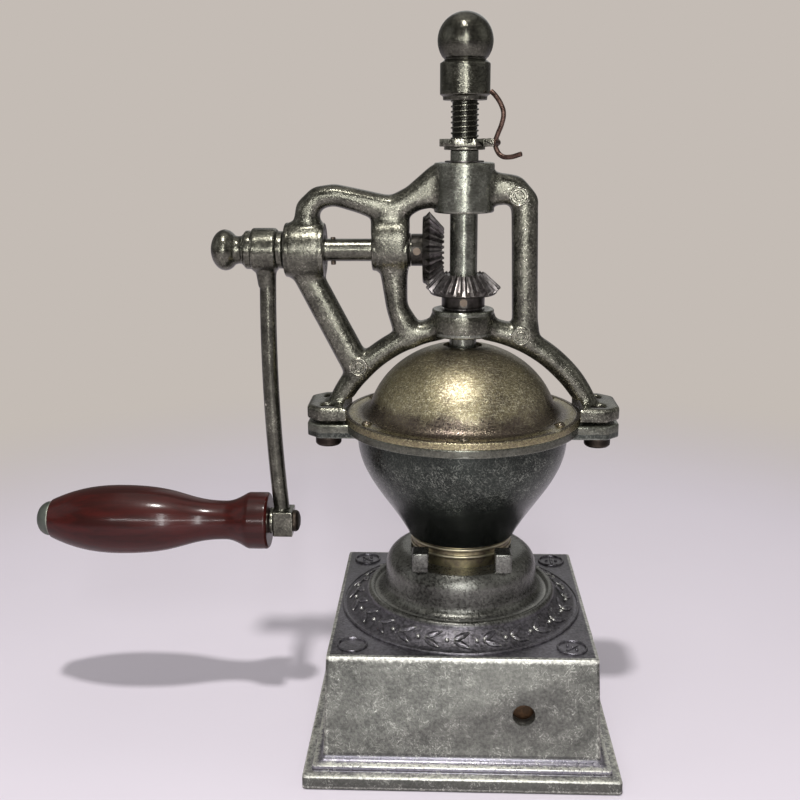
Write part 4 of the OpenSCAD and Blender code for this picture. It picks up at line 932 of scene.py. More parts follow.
class MILL_OT_base(bpy.types.Operator):
    """Build the cast base with its mouldings, pedestal and notch"""
    bl_idname = "mill.base"
    bl_label = "Base"

    def execute(self, context):
        size = context.scene.mill_sizes
        # How far in from the plinth's side, and how high
        steps = ((0.5, 0), (0, 0.6), (0, 5), (0.35, 5.7), (1, 6), (3.4, 6.1), (3.6, 6.5),
                 (3.6, 7.6), (3.9, 8.3), (4.5, 8.5), (6, 8.8), (7.1, 9.6))
        profile = [(PLINTH_HALF - inset, height) for inset, height in steps]
        profile += [(54.8, 11), (53.0, BOX_TOP - 0.9), (52.7, BOX_TOP - 0.25),
                    (52.0, BOX_TOP)]
        base = new_object("base_casting", stepped_block(profile, size.corner / MM))
        carved(base, turned(pedestal_outline(size), 144), "UNION")
        inner = high("base_plate").x - 6.6
        ceiling = BOX_TOP - 4
        carved(base, block((-inner, -inner, -1), (inner, inner, ceiling)))
        carved(base, turned([(0, ceiling - 1), (22.8, ceiling - 1), (22.8, SEAT - 2),
                             (THROAT_R, SEAT - 2), (THROAT_R, SEAT + 0.1),
                             (SEAT_R, SEAT + 0.1), (SEAT_R, PEDESTAL_TOP + 1),
                             (0, PEDESTAL_TOP + 1)], 96))
        mouth = high("drawer_tray").x + 0.4
        carved(base, block((-mouth, 0, BOX_FOOT + 0.2), (mouth, 60, BOX_FOOT + 34.2)))
        plate = high("base_plate").x + 0.1
        carved(base, block((-plate, -plate, -1), (plate, plate, 1.5)))
        vent = [(0, -60), (4.6, -60), (4.6, -54.2), (4.35, -53.8), (4.35, -45), (0, -45)]
        carved(base, turned(vent, 48, "y", (24.3, 0, BOX_FOOT + 18.6)))
        carved(base, block((-20.2, -34, PEDESTAL_TOP - 2.2), (20.2, 0, BOWL_FOOT), 0.5))
        finished(bevelled(base, 0.35 * MM, sharpest=50), "mill", "base metal", "base_housing")
        rail = inner - 12
        for side, name in ((-1, "left"), (1, "right")):
            start, end = sorted((side * rail, side * (inner + 0.5)))
            strip = block((start, -inner - 0.5, BOX_FOOT - 3.3),
                          (end, inner, BOX_FOOT + 0.2), 0.4)
            finished(new_object(f"drawer_rail_{name}", strip), "mill", "base metal")
        return {"FINISHED"}


class MILL_OT_lugs(bpy.types.Operator):
    """Build the four lugs that stand beside the burr ring"""
    bl_idname = "mill.lugs"
    bl_label = "Lugs"

    def execute(self, context):
        edge = context.scene.mill_sizes.edge / MM
        for sx, sy in QUADRANTS:
            xs = sorted((sx * 13.4, sx * 20.2))
            ys = sorted((sy * 18, sy * 26.1))
            shape = block((xs[0], ys[0], PEDESTAL_TOP - 2.7),
                          (xs[1], ys[1], BOWL_FOOT - 0.8), edge, 4)
            lug = new_object(f"lug_{'w' if sx < 0 else 'e'}{'s' if sy < 0 else 'n'}", shape)
            carved(lug, turned(drum(SEAT_R + 0.5, SEAT, RIM), 96))
            finished(lug, "mill", "base metal")
        return {"FINISHED"}


class MILL_OT_relief(bpy.types.Operator):
    """Build the wreath on the base's cone and the round marks at its corners"""
    bl_idname = "mill.relief"
    bl_label = "Relief"

    def execute(self, context):
        cone_slope = 29
        count = 24
        level = BOX_TOP + 3.4
        leaves = [ring_of(count, -90, lambda: moved(
            leaf(44.7 + 1.7 * side, cone_slope, 3.7, 1.4, 0.75, 90 - 28 * side),
            (0, 0, level - 0.95 * side))) for side in (-1, 1)]
        beads = ring_of(count, -90 + 180 / count, lambda: bead_on(45.1, level, 0.85))
        finished(new_object("wreath", joined(*leaves, beads)), "mill", "base metal",
                 smooth=60)
        reach = 43.4
        for index, (sx, sy) in enumerate(((-1, -1), (1, -1), (1, 1), (-1, 1))):
            mark = turned([(6.1, BOX_TOP - 0.5), (6.1, BOX_TOP + 0.3)]
                          + arc(5.65, BOX_TOP + 0.35, 0.45, 0, 180, 6)
                          + [(5.1, BOX_TOP + 0.05), (4.4, BOX_TOP + 0.02),
                             (0, BOX_TOP + 0.02)], 48)
            if index:
                bar = block((-3.2, -0.55, BOX_TOP - 0.2), (3.2, 0.55, BOX_TOP + 0.45), 0.2)
                knots = [bead_on(x, BOX_TOP + 0.15, 0.7) for x in (-2.2, 0, 2.2)]
                mark = joined(mark, bar, moved(joined(*knots), turn=90))
            moved(moved(mark, turn=45 * index), (sx * reach, sy * reach, 0))
            finished(new_object(f"corner_mark_{index + 1}", mark), "mill", "base metal")
        return {"FINISHED"}


class MILL_OT_burr_ring(bpy.types.Operator):
    """Build the turned brass ring between the pedestal and the bowl"""
    bl_idname = "mill.burr_ring"
    bl_label = "Burr ring"

    def execute(self, context):
        outer = 20.8
        bore = 15.1
        ledge = 13
        outline = [(bore, BOWL_FOOT), (bore, SEAT + 2.5), (ledge, SEAT + 2.5),
                   (ledge, SEAT), (outer, SEAT), (outer, PEDESTAL_TOP + 1.4)]
        for bead in (PEDESTAL_TOP + 2.4, BOWL_FOOT - 1.4):
            outline += [(outer, bead - 1)] + arc(outer - 0.1, bead, 0.75, -75, 75, 6) + \
                [(outer, bead + 1)]
        outline += [(outer, BOWL_FOOT), (bore, BOWL_FOOT)]
        piece = new_object("brass_burr_ring", turned(outline, 112))
        finished(piece, "mill", "brass", "burr_ring")
        return {"FINISHED"}


# ------------------------------------------------------------ bowl and lid

PAD_END = high("bowl").x
PAD_HALF = 14.5
PAD_CUT = 5.2
PAD_FOOT = RIM - 5.8
BOLT_HEAD_R = 5.3
BOLT_X = (high("ear_bolts").x - low("ear_bolts").x) / 2 - BOLT_HEAD_R
BOLT_Y = (high("ear_bolts").y - low("ear_bolts").y) / 2 - BOLT_HEAD_R


def pad_outline(inner, side):
    """Outline of an ear: a bar with cut corners at its outer end."""
    points = [(inner, -PAD_HALF), (PAD_END - PAD_CUT, -PAD_HALF),
              (PAD_END, -PAD_HALF + PAD_CUT), (PAD_END, PAD_HALF - PAD_CUT),
              (PAD_END - PAD_CUT, PAD_HALF), (inner, PAD_HALF)]
    return [(side * x, y) for x, y in points]


class MILL_OT_bowl(bpy.types.Operator):
    """Build the bowl with its flange and the two ears"""
    bl_idname = "mill.bowl"
    bl_label = "Bowl"

    def execute(self, context):
        size = context.scene.mill_sizes
        outer = size.bowl / MM
        neck = size.bowl_neck / MM
        flange = size.flange / MM
        wall = size.bowl_wall / MM
        tall = RIM - BOWL_FOOT
        shelf = RIM - 3.3
        drain = 14.6
        mouth = 34.3

        def side(inset):
            return curve((neck - inset, BOWL_FOOT),
                         (neck + 8.8 - inset, BOWL_FOOT + 0.34 * tall),
                         (outer - inset, BOWL_FOOT + 0.54 * tall),
                         (outer - inset, shelf - 4), 28)

        inner = [p for p in side(wall) if p[1] > BOWL_FOOT + 3.4]
        outline = [(drain, BOWL_FOOT)] + side(0)
        outline += [(outer, shelf), (flange, shelf), (flange, RIM), (mouth, RIM),
                    (mouth, RIM - 1.6), (outer - wall, shelf)]
        outline += inner[::-1] + [(inner[0][0] - 0.6, BOWL_FOOT + 3),
                                  (drain, BOWL_FOOT + 3), (drain, BOWL_FOOT)]
        bowl = lathed("bowl_casting", outline, 0.45, 144)
        for sx in (-1, 1):
            carved(bowl, prism(pad_outline(outer - 1.6, sx), PAD_FOOT, RIM,
                               size.edge / MM), "UNION")
            for sy in (-1, 1):
                carved(bowl, turned(drum(3.1, RIM - 7, RIM + 1), 40,
                                    at=(sx * BOLT_X, sy * BOLT_Y, 0)))
        finished(bowl, "mill", "bowl metal", "bowl")
        return {"FINISHED"}


class MILL_OT_lid(bpy.types.Operator):
    """Build the brass dome with its flange and filling hole"""
    bl_idname = "mill.lid"
    bl_label = "Lid"

    def execute(self, context):
        size = context.scene.mill_sizes
        radius = size.dome / MM
        rise = size.dome_rise / MM
        flange = size.flange / MM
        spring = RIM - 3.7
        top = RIM + 2.7
        wall = 1.6
        bore = 7.9

        def side(inset, start):
            return [(r, h) for r, h in arc(0, spring, radius - inset, 0, 90, 48,
                                           rise - inset) if h > start and r > bore]

        outline = [(radius - wall, RIM), (flange, RIM), (flange, top)]
        outline += arc(flange - 1.6, top - 0.1, 0.35, 70, 180, 4)
        outline += [(radius + 5.5, top - 0.15)]
        outline += curve((radius + 3.2, top), (radius + 1.2, top + 0.1),
                         (radius - 0.35, top + 1.0), side(0, top + 3.5)[0], 8)[:-1]
        outline += side(0, top + 3.5)
        outline += [(bore, outline[-1][1] + 0.15), (bore, side(wall, RIM)[-1][1])]
        outline += side(wall, RIM + 0.5)[::-1] + [(radius - wall, RIM)]
        lid = lathed("brass_lid", outline, 0.3, 160)
        reach = 2 * radius
        half = math.radians(35)
        window = [(0, 0), (reach * math.sin(-half), reach * math.cos(half)),
                  (reach * math.sin(half), reach * math.cos(half))]
        carved(lid, prism(window, top + 5, spring + rise * 0.84))
        count = 6
        rivet_at = ((radius + flange) / 2, 0, 0)
        for i in range(count):
            dimple = turned([(0, top - 0.25), (2.35, top - 0.25), (2.6, top + 1),
                             (0, top + 1)], 32)
            carved(lid, moved(dimple, rivet_at, -90 + i * 360 / count))
        finished(lid, "mill", "dome brass", "dome_lid")
        rivet = eased([(0, top - 0.6), (1.95, top - 0.6), (1.95, top + 0.3),
                       (1.5, top + 1.0), (0.7, top + 1.35), (0, top + 1.4)], 0.2)
        rivets = ring_of(count, -90, lambda: moved(turned(rivet, 24), rivet_at))
        finished(new_object("lid_rivet_heads", rivets), "mill", "dome brass", "lid_rivets")
        return {"FINISHED"}


# ------------------------------------------------------------ frame

class MILL_OT_frame(bpy.types.Operator):
    """Build the softened casting of the arched frame and its turned hubs"""
    bl_idname = "mill.frame"
    bl_label = "Frame"

    def execute(self, context):
        grain = context.scene.mill_sizes.casting_grain
        pad_top = high("ear_bolts").z
        casting = softened(solid_copy("frame_casting", "support_frame"), grain,
                           rounds=12, rounder=40, above=(pad_top + 3, pad_top + 12))
        finished(casting, "mill", "frame metal", "support_frame", smooth=70)
        outer = low("shaft_bushes").x
        upright_bore, level_bore = 7.02, 6.02
        for name, radius, start, length in (
                ("top_hub", 11.9, low("top_bush").z, 19.3),
                ("low_hub", 12.55, low("lower_bush").z, 10.8)):
            hub = lathed(name, ring(upright_bore, radius, start, start + length), 0.9, 88)
            finished(hub, "mill", "frame metal", look="brightened upright steel")
        for name, radius, start, length in (("outer_hub", 10.85, outer + 0.7, 16),
                                            ("middle_hub", 8.35, outer + 35.6, 14.7)):
            hub = lathed(name, ring(level_bore, radius, start, start + length), 0.9, 88,
                         "x", SHAFT_LINE)
            finished(hub, "mill", "frame metal", look="shaft steel")
        return {"FINISHED"}


class MILL_OT_frame_marks(bpy.types.Operator):
    """Build the round marks that the mould left on the frame"""
    bl_idname = "mill.frame_marks"
    bl_label = "Frame marks"

    def execute(self, context):
        spots = ((21.2, 225.6), (23.2, 170.3), (-42.4, 157.4))
        face = 5.7
        large, small = 3.4, 1.7
        for index, (x, z) in enumerate(spots):
            rims = [turned([(radius - 0.55, 0)] + arc(radius, 0.1, 0.42, 180, 0, 6)
                           + [(radius + 0.55, 0), (radius - 0.55, 0)], 40)
                    for radius in (large, small)]
            mark = joined(*rims, turned(drum(large, -0.6, 0.05), 40))
            moved(moved(mark, turn=90, axis="X"), (x, -face, z))
            finished(new_object(f"mould_mark_{index + 1}", mark), "mill", "frame metal")
        return {"FINISHED"}


class MILL_OT_ear_bolts(bpy.types.Operator):
    """Build the bolts that hold the frame to the bowl's ears"""
    bl_idname = "mill.ear_bolts"
    bl_label = "Ear bolts"

    def execute(self, context):
        foot = low("ear_bolts").z
        end = high("ear_bolts").z
        places = [(sx * BOLT_X, sy * BOLT_Y, 0) for sx, sy in QUADRANTS]
        outline = eased([(0, foot), (4.6, foot), (BOLT_HEAD_R, foot + 0.8),
                         (BOLT_HEAD_R, PAD_FOOT), (3, PAD_FOOT), (3, end - 0.5),
                         (2.5, end), (0, end)], 0.3)
        bolts = new_object("ear_bolt_set",
                           joined(*[turned(outline, 40, at=place) for place in places]))
        for place in places:
            carved(bolts, turned([(0, foot - 1), (2.9, foot - 1), (2.9, foot + 1.6),
                                  (0, foot + 1.9)], 6, at=place))
        finished(bolts, "mill", "brown steel", "ear_bolts", look="dark screws")
        return {"FINISHED"}


# ------------------------------------------------------------ drive

class MILL_OT_gears(bpy.types.Operator):
    """Build the two bevel gears with rounded tooth edges"""
    bl_idname = "mill.gears"
    bl_label = "Gears"

    def execute(self, context):
        for node, body, look in (("spindle_gear", "grinding_spindle", "low gear steel"),
                                 ("shaft_gear", "crank", "gear steel")):
            gear = crisp(f"{node}_toothed", node, 0.16 * MM)
            finished(gear, body, "gear steel", node, smooth=32, look=look)
        return {"FINISHED"}


class MILL_OT_spindle(bpy.types.Operator):
    """Build the spindle with a real helical thread"""
    bl_idname = "mill.spindle"
    bl_label = "Spindle"

    def execute(self, context):
        radius = 5.5
        core = 4.85
        pitch = 2.0
        start = NUT_FOOT - 1.6
        burr_top = BOWL_FOOT + 2.8
        outline = [(0, low("spindle").z), (3.4, low("spindle").z), (3.4, SEAT - 0.5),
                   (4.4, SEAT - 0.5), (4.4, burr_top), (radius, burr_top),
                   (radius, start), (core, start + 0.6), (core, KNOB_FOOT + 7.5),
                   (0, KNOB_FOOT + 7.5)]
        shaft = turned(eased(outline, 0.25), 64)
        thread = bmesh.new()
        ridge = [(core - 0.3, -0.78), (radius - 0.06, -0.22), (radius - 0.06, 0.22),
                 (core - 0.3, 0.78)]
        verts = [thread.verts.new((r, 0, start + 1.6 + h)) for r, h in ridge]
        edges = [thread.edges.new(pair) for pair in zip(verts, verts[1:] + verts[:1])]
        face = thread.faces.new(verts)
        turns = (KNOB_FOOT + 6 - start - 2.4) / pitch
        per_turn = 40
        steps = int(per_turn * turns)
        bmesh.ops.spin(thread, geom=[face] + edges + verts, cent=CENTRE,
                       axis=(0, 0, 1), dvec=(0, 0, pitch / per_turn),
                       angle=math.tau * steps / per_turn, steps=steps,
                       use_merge=False, use_duplicate=False)
        outward(thread)
        finished(new_object("spindle_shaft", shaft), "grinding_spindle", "shaft steel",
                 "spindle", look="brightened upright steel")
        sleeve = turned(ring(core - 0.4, core + 0.03, start + 1.2, KNOB_FOOT + 1), 64)
        finished(new_object("spindle_thread", joined(thread, sleeve)),
                 "grinding_spindle", "shaft steel", look="thread steel")
        return {"FINISHED"}


class MILL_OT_knob(bpy.types.Operator):
    """Build the round knob on top of the spindle"""
    bl_idname = "mill.knob"
    bl_label = "Top knob"

    def execute(self, context):
        radius = 10.7
        barrel = 9.7
        bore = 5.52
        rim = KNOB_FOOT + 15
        outline = [(0, KNOB_FOOT + 8.3), (bore, KNOB_FOOT + 8.3), (bore, KNOB_FOOT),
                   (8.5, KNOB_FOOT), (8.6, KNOB_FOOT + 1.5), (barrel, KNOB_FOOT + 2.1),
                   (barrel, rim - 1.3), (7.9, rim), (8.5, rim + 0.7)]
        outline += arc(0, KNOB_TOP - radius, radius, -36, 90, 26)[:-1] + [(0, KNOB_TOP)]
        knob = lathed("ball_knob", outline, 0.35, 112, sharpest=30)
        carved(knob, moved(turned(drum(1, rim, rim + 4.4), 20), (radius, 0, 0), -8))
        finished(knob, "grinding_spindle", "frame metal", "top_knob", look="knob steel")
        return {"FINISHED"}


class MILL_OT_adjuster(bpy.types.Operator):
    """Build the notched adjusting nut and its washer"""
    bl_idname = "mill.adjuster"
    bl_label = "Adjuster"

    def execute(self, context):
        edge = context.scene.mill_sizes.fine_edge
        for name, node in (("lock_washer_turned", "lock_washer"),
                           ("notched_nut", "adjusting_nut")):
            finished(crisp(name, node, edge), "adjuster", "shaft steel", node)
        return {"FINISHED"}


class MILL_OT_clip(bpy.types.Operator):
    """Build the bent wire of the spring clip and its pin"""
    bl_idname = "mill.clip"
    bl_label = "Spring clip"

    def execute(self, context):
        wire_r = 0.95
        turn = -28
        tip = 11.05
        eye = 13.2
        pivot = (NUT_FOOT + NUT_TOP) / 2
        # (distance from the spindle, height) pairs
        path = [(tip, KNOB_FOOT + 3.2), (tip + 1.8, KNOB_FOOT + 1.6),
                (tip + 4.3, KNOB_FOOT - 1.8), (tip + 5.4, KNOB_FOOT - 5),
                (tip + 4.7, KNOB_FOOT - 9), (eye + 1, pivot + 3.2), (eye, pivot),
                (eye + 0.8, pivot - 3), (eye + 2.8, pivot - 5), (eye + 6, pivot - 5.4),
                (eye + 11, pivot - 4.2)]
        line = bpy.data.curves.new("clip_line", "CURVE")
        line.dimensions = "3D"
        line.bevel_depth = wire_r * MM
        line.bevel_resolution = 5
        line.resolution_u = 10
        line.use_fill_caps = True
        spline = line.splines.new("BEZIER")
        spline.bezier_points.add(len(path) - 1)
        across, along = math.cos(math.radians(turn)), math.sin(math.radians(turn))
        for point, (reach, height) in zip(spline.bezier_points, path):
            point.co = (reach * across * MM, reach * along * MM, height * MM)
            point.handle_left_type = "AUTO"
            point.handle_right_type = "AUTO"
        wire = placed("clip_wire", line)
        clip = placed("spring_clip_wire", evaluated_mesh(wire))
        bpy.data.objects.remove(wire)
        finished(clip, "clip", "brown steel", "spring_clip", smooth=60)
        pin = turned(eased(drum(1.25, -2.4, 2.4), 0.25), 24, "y", (eye, 0, pivot))
        finished(new_object("clip_pin", moved(pin, turn=turn)), "clip", "brown steel")
        return {"FINISHED"}


# ------------------------------------------------------------ crank

SHAFT_R = 4.5


class MILL_OT_shaft(bpy.types.Operator):
    """Build the crank shaft and its cross pin"""
    bl_idname = "mill.shaft"
    bl_label = "Crank shaft"

    def execute(self, context):
        start = low("crank_shaft").x
        end = high("crank_shaft").x
        journal = SHAFT_R - 1
        crank_face = low("crank_arm").x
        outline = [(0, start), (journal, start), (journal, crank_face),
                   (SHAFT_R, crank_face), (SHAFT_R, end - 0.4), (SHAFT_R - 0.4, end),
                   (0, end)]
        shaft = new_object("turned_crank_shaft", turned(outline, 56, "x", SHAFT_LINE))
        finished(shaft, "crank", "shaft steel", "crank_shaft")
        pin = drum(1, low("shaft_pin").z, high("shaft_pin").z)
        finished(lathed("cross_pin", pin, 0.3, 20, at=(middle("shaft_pin").x, 0, 0)),
                 "crank", "dark screws", "shaft_pin")
        return {"FINISHED"}


class MILL_OT_crank(bpy.types.Operator):
    """Build the cast crank arm with its hub and square eye"""
    bl_idname = "mill.crank"
    bl_label = "Crank arm"

    def execute(self, context):
        grain = context.scene.mill_sizes.arm_grain
        arm = softened(solid_copy("crank_arm_casting", "crank_arm"), grain, rounds=3)
        finished(arm, "crank", "crank metal", "crank_arm", smooth=60)
        return {"FINISHED"}


class MILL_OT_crank_end(bpy.types.Operator):
    """Build the washers and the ball nut at the end of the crank shaft"""
    bl_idname = "mill.crank_end"
    bl_label = "Ball nut"

    def execute(self, context):
        edge = low("crank_washer").x
        inner = high("crank_washer").x
        bore = SHAFT_R - 0.98
        washer = [(bore, edge), (6.9, edge), (7.7, edge + 0.8), (7.7, inner),
                  (bore, inner), (bore, edge)]
        end = low("ball_nut").x
        half = 5.74
        nut = [(0, edge), (6.2, edge), (6.3, edge - 0.5), (5.6, edge - 1.1),
               (5.5, edge - 2.4)]
        nut += arc(0, end + half, 8.2, 44, -88, 22, half)[:-1] + [(0, end)]
        spacer = ring(SHAFT_R + 0.02, 7.5, low("crank_spacer").x, high("crank_spacer").x)
        for name, outline, ease, steps, finish, node in (
                ("crank_collar", washer, 0.3, 64, "crank metal", "crank_washer"),
                ("ball_nut_turned", nut, 0.3, 80, "crank metal", "ball_nut"),
                ("spacer_ring", spacer, 0.25, 64, "shaft steel", "crank_spacer")):
            finished(lathed(name, outline, ease, steps, "x", SHAFT_LINE), "crank", finish,
                     node)
        return {"FINISHED"}


AXLE_R = 2.6


class MILL_OT_grip(bpy.types.Operator):
    """Build the turned wooden grip"""
    bl_idname = "mill.grip"
    bl_label = "Grip"

    def execute(self, context):
        start = high("grip").x
        length = start - low("grip").x
        bore = AXLE_R + 0.05
        collar = 12.1
        neck = 8.3
        belly = 14.7
        end = 8.3
        swell = 19
        slope = length - swell
        outline = [(bore, 0), (collar - 0.7, 0), (collar, 0.8), (collar + 0.05, 4.6),
                   (collar, 8.6)]
        outline += curve((collar, 9), (collar - 1.6, 12), (neck, 15), (neck, swell), 12)[1:]
        outline += curve((neck, swell), (neck, swell + 0.24 * slope),
                         (belly, swell + 0.24 * slope), (belly, swell + 0.6 * slope),
                         24)[1:]
        outline += curve((belly, swell + 0.6 * slope), (belly, swell + 0.74 * slope),
                         (belly - 1.5, swell + 0.86 * slope), (end, length), 16)[1:]
        outline += [(bore, length), (bore, 0)]
        grip = lathed("wooden_grip", outline, 0.35, 112, "-x", (start, 0, GRIP_Z), 40)
        finished(grip, "hand_grip", "grip wood", "grip", smooth=50)
        return {"FINISHED"}


class MILL_OT_grip_fittings(bpy.types.Operator):
    """Build the grip's end cap, its washer and the head of its axle"""
    bl_idname = "mill.grip_fittings"
    bl_label = "Grip fittings"

    def execute(self, context):
        cap_start = high("grip_cap").x
        cap_length = cap_start - low("grip_cap").x
        cap_r = 7.4
        band = 0.12 * cap_length
        cap = [(0, 0), (cap_r, 0), (cap_r, band)]
        cap += [(cap_r * math.cos(math.radians(a)) ** 0.9,
                 band + (cap_length - band) * math.sin(math.radians(a)))
                for a in range(10, 81, 10)] + [(0, cap_length)]
        finished(lathed("grip_end_cap", cap, 0.4, 72, "-x", (cap_start, 0, GRIP_Z)),
                 "crank", "cap metal", "grip_cap")
        face = high("grip_washer").x
        washer = ring(AXLE_R + 0.02, 5.6, low("grip_washer").x, face)
        foot = low("grip_axle").x
        end = high("grip_axle").x
        head = face + 8.4
        rod = [(0, foot), (AXLE_R, foot), (AXLE_R, head), (4.6, head), (4.6, end - 1.5),
               (3.9, end - 0.6), (2.2, end), (0, end)]
        for name, outline, ease, steps, finish, node in (
                ("grip_washer_ring", washer, 0.25, 56, "shaft steel", "grip_washer"),
                ("grip_axle_bolt", rod, 0.3, 48, "dark screws", "grip_axle")):
            finished(lathed(name, outline, ease, steps, "x", (0, 0, GRIP_Z)), "crank",
                     finish, node)
        return {"FINISHED"}


# ------------------------------------------------------------ drawer and small parts

class MILL_OT_drawer(bpy.types.Operator):
    """Build the drawer's front, knob and tray"""
    bl_idname = "mill.drawer"
    bl_label = "Drawer"

    def execute(self, context):
        edge = context.scene.mill_sizes.edge / MM
        lo = low("drawer_front")
        hi = high("drawer_front")
        front = new_object("drawer_front_plate", block(lo, (hi.x, hi.y - 1.2, hi.z), edge))
        carved(front, block((lo.x + 3, lo.y + 1, lo.z + 3), (hi.x - 3, hi.y, hi.z - 3),
                            0.6), "UNION")
        carved(front, block((lo.x + 6, hi.y - 0.9, lo.z + 6),
                            (hi.x - 6, hi.y + 1, hi.z - 6), 0.5))
        finished(front, "drawer", "base metal", "drawer_front")
        outline = [(0, 0), (4.4, 0), (4.4, 0.9), (3.2, 1.8), (2.9, 3.4), (3.4, 5.2)]
        outline += arc(0, 10.3, 8, -50, 90, 14, 6)[:-1] + [(0, 16.3)]
        knob = lathed("drawer_pull", outline, 0.4, 72, "y",
                      (0, hi.y - 0.9, middle("drawer_knob").z), 35)
        finished(knob, "drawer", "brass", "drawer_knob")
        finished(crisp("drawer_tray_box", "drawer_tray", 0.5 * MM), "drawer",
                 "drawer wood", "drawer_tray")
        return {"FINISHED"}


class MILL_OT_small_parts(bpy.types.Operator):
    """Round the edges of the shutter, bushes and other small parts"""
    bl_idname = "mill.small_parts"
    bl_label = "Small parts"

    def execute(self, context):
        fine = context.scene.mill_sizes.fine_edge
        for node, body, finish in (("shutter", "lid_shutter", "dome brass"),
                                   ("shutter_knob", "lid_shutter", "brass"),
                                   ("top_bush", "mill", "gear steel"),
                                   ("lower_bush", "mill", "gear steel"),
                                   ("shaft_bushes", "mill", "gear steel"),
                                   ("burr_bridge", "mill", "brass"),
                                   ("base_plate", "mill", "sheet metal")):
            finished(crisp(f"{node}_finished", node, fine), body, finish, node)
        return {"FINISHED"}


class MILL_OT_plain_parts(bpy.types.Operator):
    """Give the parts that show their solids a worked finish"""
    bl_idname = "mill.plain_parts"
    bl_label = "Plain parts"

    def execute(self, context):
        slots = {s["node"]: s["material_slot"] for s in frame["record"]["subparts"]}
        for node, piece in frame["nodes"].items():
            piece.data.materials.clear()
            piece.data.materials.append(FINISHES[slots[node]])
        return {"FINISHED"}


# ------------------------------------------------------------ stage

CAMERA_AT = (-7.5455, -424.0183, 250.182)
CAMERA_YAW = 2.462
CAMERA_PITCH = 14.278
CAMERA_ROLL = 0.313
FOCAL = 1054.4767
IMAGE_WIDTH = 800
SENSOR = 36
AIM = Vector((0, 0, 0.14))
WHITE = (1, 1, 1)
ROOM_TINT = (1.0, 0.97, 0.92)
ROOM_LIGHT = 0.19
FLOOR_HALF = 4000
# Where the floor starts to fade into the wall, and where it has gone, in metres
FADE = (0.30, 0.62)

# Name, place, width and height in metres, power in watts and tint of each lamp
LAMPS = (
    ("ceiling", (-0.09, -0.37, 1.15), 0.06, 0.06, 8.2, (1, 0.98, 0.95)),
    ("sky", (0, 0.3, 2.2), 1.6, 1.6, 5.0, (1, 0.97, 0.94)),
    ("tall tube", (0.03, -0.95, 0.42), 0.05, 0.8, 4.6, WHITE),
    ("long tube", (-0.1, -0.75, 0.32), 0.6, 0.02, 1.5, WHITE),
    ("left", (-1.7, -0.3, 0.9), 1.2, 1.2, 2.0, (0.95, 0.96, 1.0)),
    ("right", (1.7, -0.3, 0.9), 1.2, 1.2, 2.0, WHITE),
    ("back", (0.2, 1.6, 1.0), 1.2, 1.2, 2.5, WHITE),
)


def lay_floor(tones):
    """A pale floor that fades into the wall's colour far away, as the camera sees it."""
    ground = bmesh.new()
    bmesh.ops.create_grid(ground, x_segments=1, y_segments=1, size=FLOOR_HALF)
    floor = new_object("floor", ground)
    shader = Shader("Pale floor")
    x, y = shader.place_parts()[:2]
    shader.feed(base_color=shader.blend(shader.noise(9, 3, 0.55), shade(tones.floor, 0.96),
                                        tones.floor), roughness=0.6)
    glow = shader.add("ShaderNodeEmission", None, {"Color": (*tones.wall, 1)})
    seen = Number(shader, shader.add("ShaderNodeLightPath").outputs["Is Camera Ray"])
    far = shader.step((x * x + y * y).root(), *FADE) * seen
    mix = shader.add("ShaderNodeMixShader", None,
                     {0: far, 1: shader.surface.outputs[0], 2: glow.outputs[0]})
    shader.set(shader.tree.nodes["Material Output"].inputs["Surface"], mix.outputs[0])
    floor.data.materials.append(shader.material)


def hang_backdrop(scene, wall):
    """A soft light from all sides, which the camera sees as a plain wall."""
    world = bpy.data.worlds.new("Soft room")
    scene.world = world
    world.use_nodes = True
    tree = world.node_tree
    light = tree.nodes["Background"]
    light.inputs["Color"].default_value = (*ROOM_TINT, 1)
    light.inputs["Strength"].default_value = ROOM_LIGHT
    backdrop = tree.nodes.new("ShaderNodeBackground")
    backdrop.inputs["Color"].default_value = (*wall, 1)
    path = tree.nodes.new("ShaderNodeLightPath")
    mix = tree.nodes.new("ShaderNodeMixShader")
    for source, target in ((path.outputs["Is Camera Ray"], mix.inputs[0]),
                           (light.outputs[0], mix.inputs[1]),
                           (backdrop.outputs[0], mix.inputs[2]),
                           (mix.outputs[0], tree.nodes["World Output"].inputs["Surface"])):
        tree.links.new(source, target)


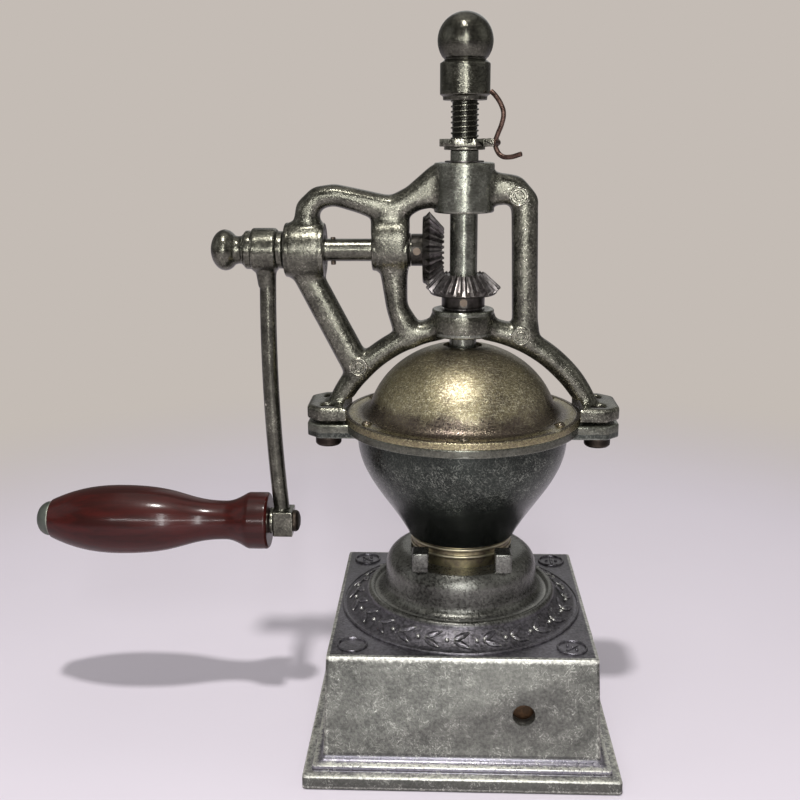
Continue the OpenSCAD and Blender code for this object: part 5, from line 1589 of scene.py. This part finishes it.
class MILL_OT_stage(bpy.types.Operator):
    """Set the floor, the soft light and the camera"""
    bl_idname = "mill.stage"
    bl_label = "Stage"

    def execute(self, context):
        scene = context.scene
        lay_floor(scene.mill_colours)
        hang_backdrop(scene, scene.mill_colours.wall)
        for name, place, width, height, power, tint in LAMPS:
            lamp = bpy.data.lights.new(name, "AREA")
            lamp.shape = "RECTANGLE"
            lamp.size = width
            lamp.size_y = height
            lamp.energy = power
            lamp.color = tint
            holder = placed(name, lamp)
            holder.location = place
            facing = (AIM - Vector(place)).to_track_quat("-Z", "Y")
            holder.rotation_euler = facing.to_euler()
        lens = bpy.data.cameras.new("camera")
        lens.sensor_width = SENSOR
        lens.lens = FOCAL * SENSOR / IMAGE_WIDTH
        lens.clip_start = 0.01
        camera = placed("camera", lens)
        camera.location = Vector(CAMERA_AT) * MM
        facing = Matrix.Rotation(math.radians(CAMERA_YAW), 4, "Z") \
            @ Matrix.Rotation(math.radians(90 - CAMERA_PITCH), 4, "X") \
            @ Matrix.Rotation(math.radians(-CAMERA_ROLL), 4, "Z")
        camera.rotation_euler = facing.to_euler()
        scene.camera = camera
        scene.view_settings.view_transform = "Standard"
        return {"FINISHED"}


class MILL_PT_panel(bpy.types.Panel):
    """Sizes, colours and pieces of the mill"""
    bl_idname = "MILL_PT_panel"
    bl_label = "Coffee Mill"
    bl_space_type = "VIEW_3D"
    bl_region_type = "UI"
    bl_category = "Mill"

    def draw(self, context):
        layout = self.layout
        for group in (context.scene.mill_sizes, context.scene.mill_colours):
            box = layout.box()
            for name in group.__annotations__:
                box.prop(group, name)
        for operator in OPERATORS:
            layout.operator(operator.bl_idname)


OPERATORS = (MILL_OT_base, MILL_OT_lugs, MILL_OT_relief, MILL_OT_burr_ring, MILL_OT_bowl,
             MILL_OT_lid, MILL_OT_frame, MILL_OT_frame_marks, MILL_OT_ear_bolts,
             MILL_OT_gears, MILL_OT_spindle, MILL_OT_knob, MILL_OT_adjuster, MILL_OT_clip,
             MILL_OT_shaft, MILL_OT_crank, MILL_OT_crank_end, MILL_OT_grip,
             MILL_OT_grip_fittings, MILL_OT_drawer, MILL_OT_small_parts,
             MILL_OT_plain_parts, MILL_OT_stage)
CLASSES = (MillSizes, MillColours) + OPERATORS + (MILL_PT_panel,)


def register():
    for cls in CLASSES:
        bpy.utils.register_class(cls)
    bpy.types.Scene.mill_sizes = PointerProperty(type=MillSizes)
    bpy.types.Scene.mill_colours = PointerProperty(type=MillColours)


def unregister():
    del bpy.types.Scene.mill_colours
    del bpy.types.Scene.mill_sizes
    for cls in reversed(CLASSES):
        bpy.utils.unregister_class(cls)


def main():
    register()
    make_finishes()
    for operator in OPERATORS:
        family, name = operator.bl_idname.split(".")
        getattr(getattr(bpy.ops, family), name)()


if __name__ == "__main__":
    main()
